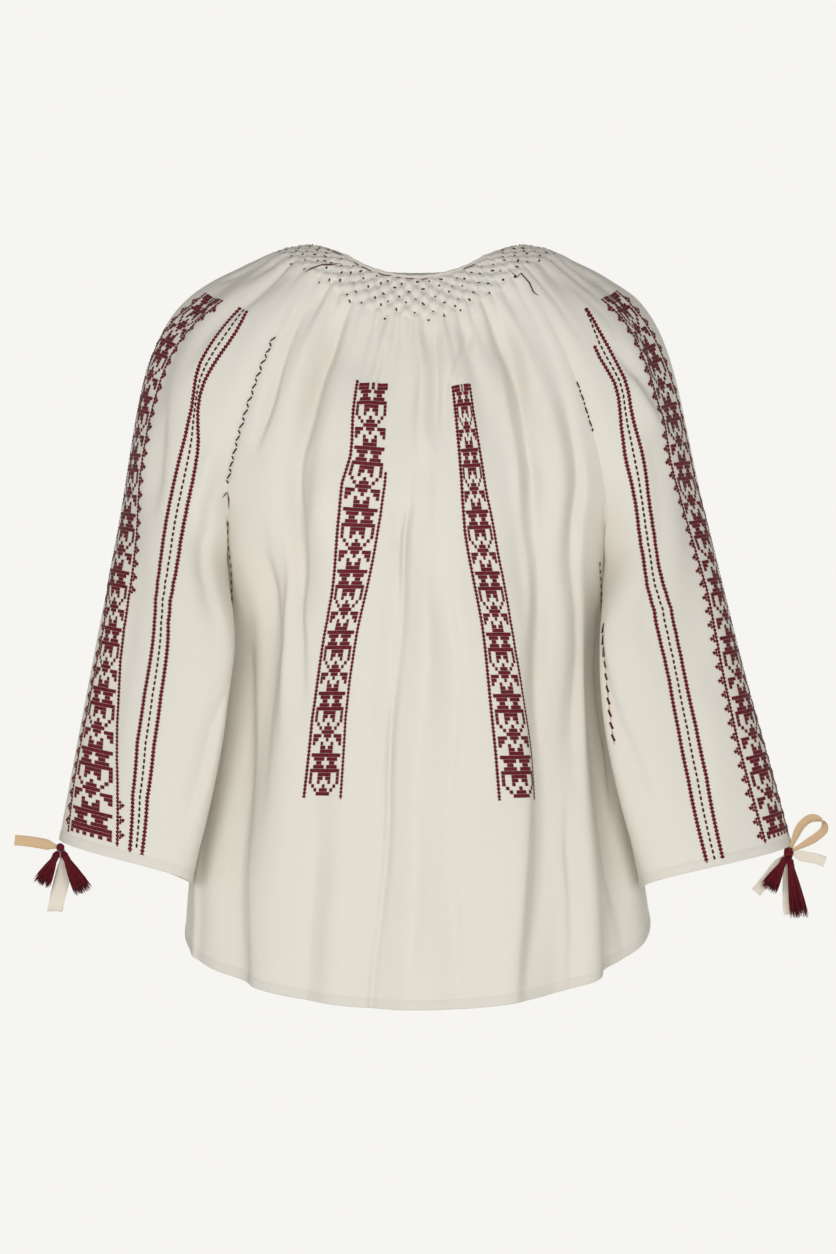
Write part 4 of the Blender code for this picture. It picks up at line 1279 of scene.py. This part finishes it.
class BLOUSE_OT_cloth(bpy.types.Operator):
    """Makes the four panels and the two gussets of cotton voile"""

    bl_idname = "blouse.cloth"
    bl_label = "Cloth panels"

    def execute(self, context):
        panels = cut_panels()
        for name, panel in panels.items():
            cloth = (panel["grid"], False, panel["turn"] < 0)
            make_piece(name + "_cloth", [cloth], "cotton_voile", (name,))
        first_row = SMOCKING_GRID_ROWS + RAGLAN_GRID_ROWS
        span = slice(first_row, first_row + GUSSET_GRID_ROWS + 1)
        for side, edge in (("right", -1), ("left", 0)):
            body_front, body_back = (panels[name]["grid"][span, edge] for name in ("front", "back"))
            arm_front, arm_back = (panels["sleeve_" + side]["grid"][span, column] for column in (0, -1))
            t = np.linspace(0, 1, GUSSET_GRID_ROWS + 1)[:, None, None]
            u = np.linspace(0, 1, GUSSET_GRID_ROWS + 1)[None, :, None]
            patch = (1 - u) * body_front[:, None] + u * arm_back[::-1][:, None]
            patch = patch + (1 - t) * arm_front[None] + t * body_back[::-1][None]
            patch = patch - (1 - t) * ((1 - u) * body_front[0] + u * arm_front[-1])
            patch = patch - t * ((1 - u) * body_front[-1] + u * body_back[0])
            gusset = (patch, False, side == "left")
            make_piece(f"gusset_{side}_cloth", [gusset], "cotton_voile", ("gusset_" + side,))
        return {"FINISHED"}


class BLOUSE_OT_hems(bpy.types.Operator):
    """Turns up the hems of the body and the cuffs"""

    bl_idname = "blouse.hems"
    bl_label = "Turned hems"

    def execute(self, context):
        panels = cut_panels()
        depth = context.scene.blouse_sizes.hem_depth

        def strip(panel):
            edge, above = panel["grid"][-1], panel["grid"][-3]
            down = unit(edge - above)
            share, lift = np.array(HEM_SECTION).T[..., None, None]
            grid = edge[None] - down[None] * (share * depth - 0.4 * MM)
            return grid + panel["normal"][-1][None] * (lift * MM), False, panel["turn"] > 0

        make_piece("body_hem", [strip(panels["front"]), strip(panels["back"])], "cotton_voile")
        for side in ("right", "left"):
            make_piece("cuff_hem_" + side, [strip(panels["sleeve_" + side])], "cotton_voile")
        return {"FINISHED"}


class BLOUSE_OT_neck(bpy.types.Operator):
    """Binds the neck edge and lays the red line under it"""

    bl_idname = "blouse.neck"
    bl_label = "Neck binding"

    def execute(self, context):
        panels = cut_panels()
        points, outward, up = [], [], []
        for name, step in (("front", 1), ("sleeve_right", 1), ("back", -1), ("sleeve_left", -1)):
            grid, normal = panels[name]["grid"][:, ::step], panels[name]["normal"][:, ::step]
            points.append(grid[0][:-1])
            outward.append(normal[0][:-1])
            up.append(unit(grid[0] - grid[3])[:-1])
        points, outward, up = np.concatenate(points), np.concatenate(outward), np.concatenate(up)
        for _ in range(NECK_SMOOTHING_PASSES):
            points, outward, up = (0.5 * v + 0.25 * np.roll(v, 1, 0) + 0.25 * np.roll(v, -1, 0)
                                   for v in (points, outward, up))
        ring = []
        for angle in np.linspace(0, 2 * math.pi, BINDING_CORNERS, endpoint=False):
            out = BINDING_MIDDLE[0] + BINDING_HALF[0] * math.cos(angle)
            rise = BINDING_MIDDLE[1] + BINDING_HALF[1] * math.sin(angle)
            ring.append(points + outward * out + up * rise)
        grid = np.stack(ring, 1)
        grid = np.concatenate([grid, grid[:1]])
        make_piece("neck_binding_cloth", [(grid, True, False)], "cotton_voile", ("neck_binding",))
        patches = []
        random = np.random.default_rng(12)
        for panel in panels.values():
            at = -0.96
            while at < 0.94:
                length = random.uniform(*NECK_STRETCH)
                if random.uniform() < NECK_WORKED:
                    places = np.linspace(at, min(at + length, 0.97), 9)
                    station = 0.05 + 0.015 * np.sin(7 * places)
                    patches.append(thread(spot_on(panel, station, places, 0.7 * MM), NECK_THREAD))
                at += length + random.uniform(*NECK_GAP)
        make_piece("neck_line_stitches", patches, "red_cotton")
        return {"FINISHED"}


class BLOUSE_OT_smocking(bpy.types.Operator):
    """Puts a short dark stitch at each pinch of the smocking"""

    bl_idname = "blouse.smocking"
    bl_label = "Smocking stitches"

    def execute(self, context):
        random = np.random.default_rng(21)
        brown, red = [], []
        for name, panel in cut_panels().items():
            shapes = {"brown": [], "red": []}
            cells = SMOCKING_CELLS[name]
            for row in range(1, SMOCKING_ROWS + 2):
                for cell in range(2 * cells + 1):
                    if (cell + row) % 2 == 0:
                        continue
                    place = -1 + cell / cells + random.uniform(-0.030, 0.030)
                    if abs(place) > SMOCKING_REACH:
                        continue
                    if row > SMOCKING_ROWS and random.uniform() < LOWEST_ROW_LEFT_OUT:
                        continue
                    station = (row - 0.10 + random.uniform(-0.30, 0.30)) / SMOCKING_ROWS
                    size = random.uniform(1.3, 3.4) * MM
                    tilt = random.normal(0.9, 0.7)
                    stitch = small_stitch(panel, station, place, size, 1.6 * MM, tilt, 1.0 * MM)
                    shapes["red" if random.uniform() < RED_SMOCKING_SHARE else "brown"].append(stitch)
            brown += lay(panel, shapes["brown"])
            red += lay(panel, shapes["red"]) if shapes["red"] else []
        make_piece("smocking_stitches", brown, "brown_cotton")
        make_piece("smocking_red_stitches", red, "red_cotton")
        return {"FINISHED"}


class BLOUSE_OT_seams(bpy.types.Operator):
    """Works the dark zigzag along the raglan seams and the stitches under the arms"""

    bl_idname = "blouse.seams"
    bl_label = "Seam stitches"

    def execute(self, context):
        panels = cut_panels()
        random = np.random.default_rng(31)
        raglan, under, tan = [], [], []
        for name, side, first, last, swing in RAGLAN_STITCHES:
            raglan += self.zigzag(panels, name, side, first, last, swing * MM, random)
        for stitch in LOOSE_STITCHES:
            path = [spot_on(panels[name], station, place, 0.8 * MM) for name, station, place in stitch]
            raglan.append(thread(np.array(path), LOOSE_THREAD))
        front, back, sleeve = panels["front"], panels["back"], panels["sleeve_right"]
        for line in (UNDERARM_LEFT, UNDERARM_RIGHT):
            rows, places = np.array(line).T
            tan += lay(front, [chain_line(front, rows, places, *UNDERARM_CHAIN, 0.9 * MM)])
            under += lay(front, dashes(front, rows, places, *UNDERARM_DASHES, 1.5 * MM))
        rows, places = np.array(SLEEVE_FOLD_RIGHT).T
        tan += lay(sleeve, [chain_line(sleeve, rows, places, *SLEEVE_FOLD_CHAIN, 0.5 * MM)])
        marks = stations_by_length(sleeve, np.stack([rows, places, places], -1), UNDERARM_PITCH)
        for count, mark in enumerate(marks):
            place = float(np.interp(mark, rows, places))
            if count < BOX_STITCHES:
                under.append(self.box(sleeve, mark, place))
            else:
                stitch = small_stitch(sleeve, mark, place, *SLANTED_STITCH, 0.25, 1.0 * MM)
                under += lay(sleeve, [stitch])
        for edge in (-0.985, 0.985):
            rows = np.linspace(7.05, 9.0, 60)
            places = np.full(60, edge)
            under += lay(back, dashes(back, rows, places, *BACK_DASHES, 0.9 * MM))
        make_piece("raglan_seam_stitches", raglan, "brown_cotton")
        make_piece("underarm_seam_stitches", under, "brown_cotton")
        make_piece("side_seam_stitches", tan, "tan_cotton")
        return {"FINISHED"}

    def zigzag(self, panels, name, side, first, last, swing, random):
        """Long strokes across the seam and short ones back, each a little different."""
        sleeve, body = panels["sleeve_" + side], panels[name]
        edge = 1.0 if side == "right" else -1.0
        sleeve_edge = -1.0 if name == "front" else 1.0
        run, fine, _ = measured_line(body, (first, last), (edge, edge), 600)
        strokes, at, on_body = [], 0.0, True
        while at < run[-1] - 4 * MM:
            mark = float(np.interp(at, run, fine))
            panel, place = (body, edge) if on_body else (sleeve, sleeve_edge)
            scale = float(across_scale(panel, mark, place * 0.98))
            out = swing * random.uniform(0.75, 1.25)
            strokes.append(spot_on(panel, mark, place * (1 - out / scale), 0.7 * MM))
            at += random.uniform(*(LONG_STROKE if on_body else SHORT_STROKE)) * MM
            on_body = not on_body
        patches = []
        for one, other in zip(strokes, strokes[1:]):
            middle = (one + other) / 2 + np.array((0.0, 0.0, random.uniform(-0.5, 0.5) * MM))
            reach = (other - one) * 0.09
            patches.append(thread(smooth_path([one + reach, middle, other - reach], 7), ZIGZAG_THREAD))
        return patches

    def box(self, panel, station, place):
        """A small open box of thread."""
        over = BOX_WIDTH / float(across_scale(panel, station, place))
        down = BOX_DEPTH
        corners = ((-down, -over), (-down, over), (down, over * 1.3), (down, -over * 0.7), (-down, -over))
        path = [spot_on(panel, station + row, place + out, 0.9 * MM) for row, out in corners]
        return thread(np.array(path), BOX_THREAD)


def band_piece(name, panel, table, ending, lift, right_from=0.0, rise=0.0):
    """One embroidered band: its satin bars and a line of chain stitch down each side."""
    count = len(stations_by_length(panel, table, CHART_ROW)) - 1
    pattern = repeat_pattern(count, ending)
    shapes = satin_bars(panel, table, pattern, BORDER_INSET, lift, rise)
    stations, left, right = np.array(table).T
    shapes.append(chain_line(panel, stations, left, *BORDER_CHAIN, lift))
    if right_from > stations[0]:
        right = np.concatenate([[np.interp(right_from, stations, right)], right[stations > right_from]])
        stations = np.concatenate([[right_from], stations[stations > right_from]])
    shapes.append(chain_line(panel, stations, right, *RIGHT_BORDER_CHAIN, lift))
    make_piece(name, lay(panel, shapes), "red_cotton")


class BLOUSE_OT_front_bands(bpy.types.Operator):
    """Embroiders the two bands down the front"""

    bl_idname = "blouse.front_bands"
    bl_label = "Front bands"

    def execute(self, context):
        front = cut_panels()["front"]
        lift = context.scene.blouse_sizes.thread_lift
        band_piece("front_band_left", front, FRONT_BAND_LEFT, (), lift, RIGHT_BORDER_FROM, TOP_RISE)
        band_piece("front_band_right", front, FRONT_BAND_RIGHT, (), lift)
        return {"FINISHED"}


class BLOUSE_OT_sleeve_bands(bpy.types.Operator):
    """Embroiders the band down each sleeve, with small dots along its edges"""

    bl_idname = "blouse.sleeve_bands"
    bl_label = "Sleeve bands"

    def execute(self, context):
        panels = cut_panels()
        lift = context.scene.blouse_sizes.thread_lift
        for side, table in (("left", SLEEVE_BAND_LEFT), ("right", SLEEVE_BAND_RIGHT)):
            panel = panels["sleeve_" + side]
            band_piece("sleeve_band_" + side, panel, table, CUFF_COMB, lift)
            stations, left, right = np.array(table).T
            dots = []
            for places, way in ((left, -1), (right, 1)):
                for station in stations_by_length(panel, table, DOTS_PITCH)[1:]:
                    if side == "left" and way < 0 and LEFT_DOTS_HIDDEN[0] < station < LEFT_DOTS_HIDDEN[1]:
                        continue
                    for out, down, size in DOT_CLUSTER:
                        near = station + down * MM / station_scale(panel, station, -0.3)
                        place = float(np.interp(near, stations, places))
                        spot = place + way * out * MM / float(across_scale(panel, near, place))
                        dots.append(small_stitch(panel, near, spot, size * MM, size * MM, 0.4, lift))
            make_piece("sleeve_dots_" + side, lay(panel, dots), "red_cotton")
        return {"FINISHED"}


class BLOUSE_OT_sleeve_stripes(bpy.types.Operator):
    """Works the triple stripes down the front and the back of each sleeve"""

    bl_idname = "blouse.sleeve_stripes"
    bl_label = "Sleeve stripes"

    def execute(self, context):
        panels = cut_panels()
        lift = context.scene.blouse_sizes.thread_lift
        for side, table in (("left", STRIPE_LEFT), ("right", STRIPE_RIGHT)):
            panel = panels["sleeve_" + side]
            stations, one, other = np.array(table).T
            lines, middles = [], []
            for way in (1, -1):
                for places in (one, other):
                    first = INNER_STRIPE_ROWS_HIDDEN if side == "right" and places is one else 0
                    line = chain_line(panel, stations[first:], way * places[first:], *STRIPE_CHAIN, lift)
                    lines.append(line)
                middles += dashes(panel, stations, way * (one + other) / 2, *STRIPE_DASHES, lift)
            make_piece("sleeve_stripes_" + side, lay(panel, lines), "red_cotton")
            make_piece("sleeve_dashes_" + side, lay(panel, middles), "brown_cotton")
        return {"FINISHED"}


class BLOUSE_OT_ties(bpy.types.Operator):
    """Ties each cuff: a wrapped knot, tan and bleached tapes and two tassels of fine threads"""

    bl_idname = "blouse.ties"
    bl_label = "Cuff ties"

    def execute(self, context):
        for side in ("left", "right"):
            low, high = (np.array(corner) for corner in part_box("tie_knot_" + side))
            centre = (low + high) / 2
            self.knot(side, centre)
            for name, (path, width, broad, cloth) in TAPES.items():
                if name.endswith(side):
                    self.tape(name, centre, path, width * MM, broad, cloth)
            for name, (x, z, length) in TASSELS.items():
                if name.endswith(side):
                    direction = np.array((x, TASSEL_LEAN, z))
                    self.tassel(name, centre, unit(direction), length * MM)
        return {"FINISHED"}

    def knot(self, side, centre):
        """A cord wound round on itself."""
        patches = []
        for turn, (tilt, spin, size) in enumerate(KNOT_ROUNDS):
            angle = np.linspace(0, 2 * math.pi, 26)
            ring = np.stack([np.cos(angle), np.sin(angle), 0.16 * np.sin(2 * angle + turn)], -1)
            ring = ring * (KNOT_RADIUS - KNOT_CORD) * size
            c, s = math.cos(tilt), math.sin(tilt)
            ring = ring @ np.array(((1, 0, 0), (0, c, -s), (0, s, c)))
            c, s = math.cos(spin), math.sin(spin)
            ring = ring @ np.array(((c, -s, 0), (s, c, 0), (0, 0, 1)))
            patches.append(thread(centre + ring * KNOT_STRETCH[side], KNOT_CORD, 8))
        make_piece("tie_wrap_" + side, patches, "red_cotton", ("tie_knot_" + side,))

    def tape(self, name, centre, path, width, broad, cloth):
        """A flat tape with a slight curl and soft edges."""
        line = np.array([(x, y, z) for x, z, y in path], float) * MM
        for end in (0, -1):
            reach = np.linalg.norm(line[end])
            if reach < KNOT_REACH:
                line[end] *= (KNOT_RADIUS - 1.5 * MM) / reach
        line = smooth_path(line, 12 * len(path)) + centre
        run = unit(np.gradient(line, axis=0))
        broad = np.array(broad)
        side = unit(broad - run * (run @ broad)[:, None])
        thin = np.cross(run, side)
        share = np.linspace(0, 1, len(line))
        pinch = TAPE_PINCH + (1 - TAPE_PINCH) * fade(share, 0, TAPE_OPENING)
        if np.linalg.norm(line[-1] - centre) < KNOT_REACH:
            pinch = pinch * (TAPE_PINCH + (1 - TAPE_PINCH) * fade(1 - share, 0, TAPE_OPENING))
        curl = TAPE_CURL * np.sin(3.2 * share + 0.6)
        rings = []
        for out, up in TAPE_SECTION:
            over = side * (out * width / 2 * pinch)[:, None]
            bend = curl * (out * out - 0.4)
            rings.append(line + over + thin * (up * MM + bend)[:, None])
        make_piece(name + "_tape", [(np.stack(rings, 1), True, False)], cloth, (name,))

    def tassel(self, name, centre, axis, length):
        """A bundle of fine threads tied at its neck, each thread ending at its own length."""
        random = np.random.default_rng(len(name) + int(length * 1e4))
        depth = unit(np.array((0.0, 1.0, 0.0)) - axis * axis[1])
        across = np.cross(depth, axis)
        top = centre + axis * (KNOT_RADIUS - 1.2 * MM)
        patches = []
        for strand in range(TASSEL_STRANDS):
            angle = STRAND_TURN * strand
            ring = math.sqrt((strand + 0.5) / TASSEL_STRANDS)
            spread = across * math.cos(angle) + depth * math.sin(angle) * 0.75
            reach = length * random.uniform(0.95, 1.05)
            drift = across * random.uniform(-1, 1) + depth * random.uniform(-1, 1)
            path = []
            for neck_share, rest_share, breadth, stray in TASSEL_SHAPE:
                down = TASSEL_NECK * neck_share + (reach - TASSEL_NECK) * rest_share
                path.append(top + axis * down + spread * ring * breadth * MM + drift * stray * MM)
            patches.append(thread(np.array(path), TASSEL_THREAD, 4))
        for wrap in range(3):
            angle = np.linspace(0, 2 * math.pi, 20)
            circle = across * np.cos(angle)[:, None] + depth * np.sin(angle)[:, None] * 0.85
            middle = top + axis * (TASSEL_NECK - 1.0 * MM + wrap * 0.9 * MM)
            patches.append(thread(middle + circle * 2.8 * MM, TASSEL_WRAP))
        make_piece(name + "_threads", patches, "red_cotton", (name,))


class BLOUSE_OT_declare(bpy.types.Operator):
    """Lists, for each sleeve, the pieces that lie on it, and does nothing more with the lists"""

    bl_idname = "blouse.declare"
    bl_label = "Declare the cloth"

    def execute(self, context):
        objects = bpy.data.objects
        on_sleeve = (
            "cuff_hem_", "sleeve_band_", "sleeve_dots_", "sleeve_stripes_", "sleeve_dashes_", "tie_wrap_",
        )
        for side in ("left", "right"):
            carried = [objects[name + side] for name in on_sleeve]
            carried += [objects[name + "_tape"] for name in TAPES if name.endswith(side)]
            carried += [objects[name + "_threads"] for name in TASSELS if name.endswith(side)]
        return {"FINISHED"}


class BLOUSE_OT_stage(bpy.types.Operator):
    """Sets the pale floor, the soft light and the camera"""

    bl_idname = "blouse.stage"
    bl_label = "Stage"

    def execute(self, context):
        scene = context.scene
        angle = np.linspace(0, 2 * math.pi, FLOOR_CORNERS, endpoint=False)
        level = np.full(FLOOR_CORNERS, FLOOR_Z)
        edge = np.stack([np.cos(angle) * FLOOR_RADIUS, np.sin(angle) * FLOOR_RADIUS, level], -1)
        mesh = bpy.data.meshes.new("floor")
        mesh.from_pydata(edge.tolist(), [], [list(range(FLOOR_CORNERS))])
        material, tree = new_material("pale_matt_floor")
        place = add_node(tree, "ShaderNodeTexCoord")
        grain = add_node(tree, "ShaderNodeTexNoise", {"Scale": 6.0},
                         {"Vector": place.outputs["Object"]})
        tint = drifting_colour(tree, grain, linear("F1F0EB"), linear("F5F4EF"))
        shader = add_node(tree, "ShaderNodeBsdfPrincipled", {"Roughness": 0.95}, {"Base Color": tint})
        add_node(tree, "ShaderNodeOutputMaterial", None, {"Surface": shader.outputs["BSDF"]})
        mesh.materials.append(material)
        floor = bpy.data.objects.new("floor", mesh)
        scene.collection.objects.link(floor)

        world = bpy.data.worlds.new("pale_studio")
        world.use_nodes = True
        tree = world.node_tree
        tree.nodes.clear()
        place = add_node(tree, "ShaderNodeTexCoord")
        height = add_node(tree, "ShaderNodeSeparateXYZ", None, {0: place.outputs["Generated"]})
        level = add_node(tree, "ShaderNodeMapRange", {1: 0.0, 2: 0.9, 3: ROOM_SIDES, 4: ROOM_ABOVE},
                         {0: height.outputs["Z"]})
        room = add_node(tree, "ShaderNodeBackground", None, {"Strength": level.outputs["Result"]})
        shown = add_node(tree, "ShaderNodeBackground", {"Color": (*linear("F6F5F1"), 1.0)})
        seen = add_node(tree, "ShaderNodeLightPath")
        both = add_node(tree, "ShaderNodeMixShader", None, {
            0: seen.outputs["Is Camera Ray"], 1: room.outputs["Background"],
            2: shown.outputs["Background"]})
        add_node(tree, "ShaderNodeOutputWorld", None, {"Surface": both.outputs["Shader"]})
        scene.world = world
        scene.view_settings.view_transform = "Standard"

        for name, place, size, power in LIGHTS:
            light = bpy.data.lights.new(name, "AREA")
            light.energy = power
            light.size = size
            holder = bpy.data.objects.new(name, light)
            holder.location = place
            aim = Vector(LIGHTS_AIM) - Vector(place)
            holder.rotation_euler = aim.to_track_quat("-Z", "Y").to_euler()
            scene.collection.objects.link(holder)

        camera = bpy.data.cameras.new("camera")
        camera.sensor_fit = "VERTICAL"
        camera.sensor_height = SENSOR_HEIGHT
        camera.lens = SENSOR_HEIGHT * -CAMERA_AT[1] / PHOTO_HEIGHT_AT_BLOUSE
        holder = bpy.data.objects.new("camera", camera)
        holder.location = CAMERA_AT
        holder.rotation_euler = (math.pi / 2, 0, 0)
        scene.collection.objects.link(holder)
        scene.camera = holder
        return {"FINISHED"}


class BLOUSE_PT_panel(bpy.types.Panel):
    """Lists the blouse's sizes, colours and pieces"""

    bl_idname = "BLOUSE_PT_panel"
    bl_label = "Blouse"
    bl_space_type = "VIEW_3D"
    bl_region_type = "UI"
    bl_category = "Blouse"

    def draw(self, context):
        for group in (context.scene.blouse_sizes, context.scene.blouse_colours):
            for name in group.__annotations__:
                self.layout.prop(group, name)
        for operator in OPERATORS:
            self.layout.operator(operator.bl_idname)


OPERATORS = (
    BLOUSE_OT_cloth, BLOUSE_OT_hems, BLOUSE_OT_neck, BLOUSE_OT_smocking, BLOUSE_OT_seams,
    BLOUSE_OT_front_bands, BLOUSE_OT_sleeve_bands, BLOUSE_OT_sleeve_stripes, BLOUSE_OT_ties,
    BLOUSE_OT_declare, BLOUSE_OT_stage,
)
CLASSES = (BlouseSizes, BlouseColours) + OPERATORS + (BLOUSE_PT_panel,)


def register():
    for made in CLASSES:
        bpy.utils.register_class(made)
    bpy.types.Scene.blouse_sizes = bpy.props.PointerProperty(type=BlouseSizes)
    bpy.types.Scene.blouse_colours = bpy.props.PointerProperty(type=BlouseColours)


def unregister():
    del bpy.types.Scene.blouse_colours
    del bpy.types.Scene.blouse_sizes
    for made in reversed(CLASSES):
        bpy.utils.unregister_class(made)


def main():
    register()
    for operator in OPERATORS:
        group, action = operator.bl_idname.split(".")
        getattr(getattr(bpy.ops, group), action)()


if __name__ == "__main__":
    main()
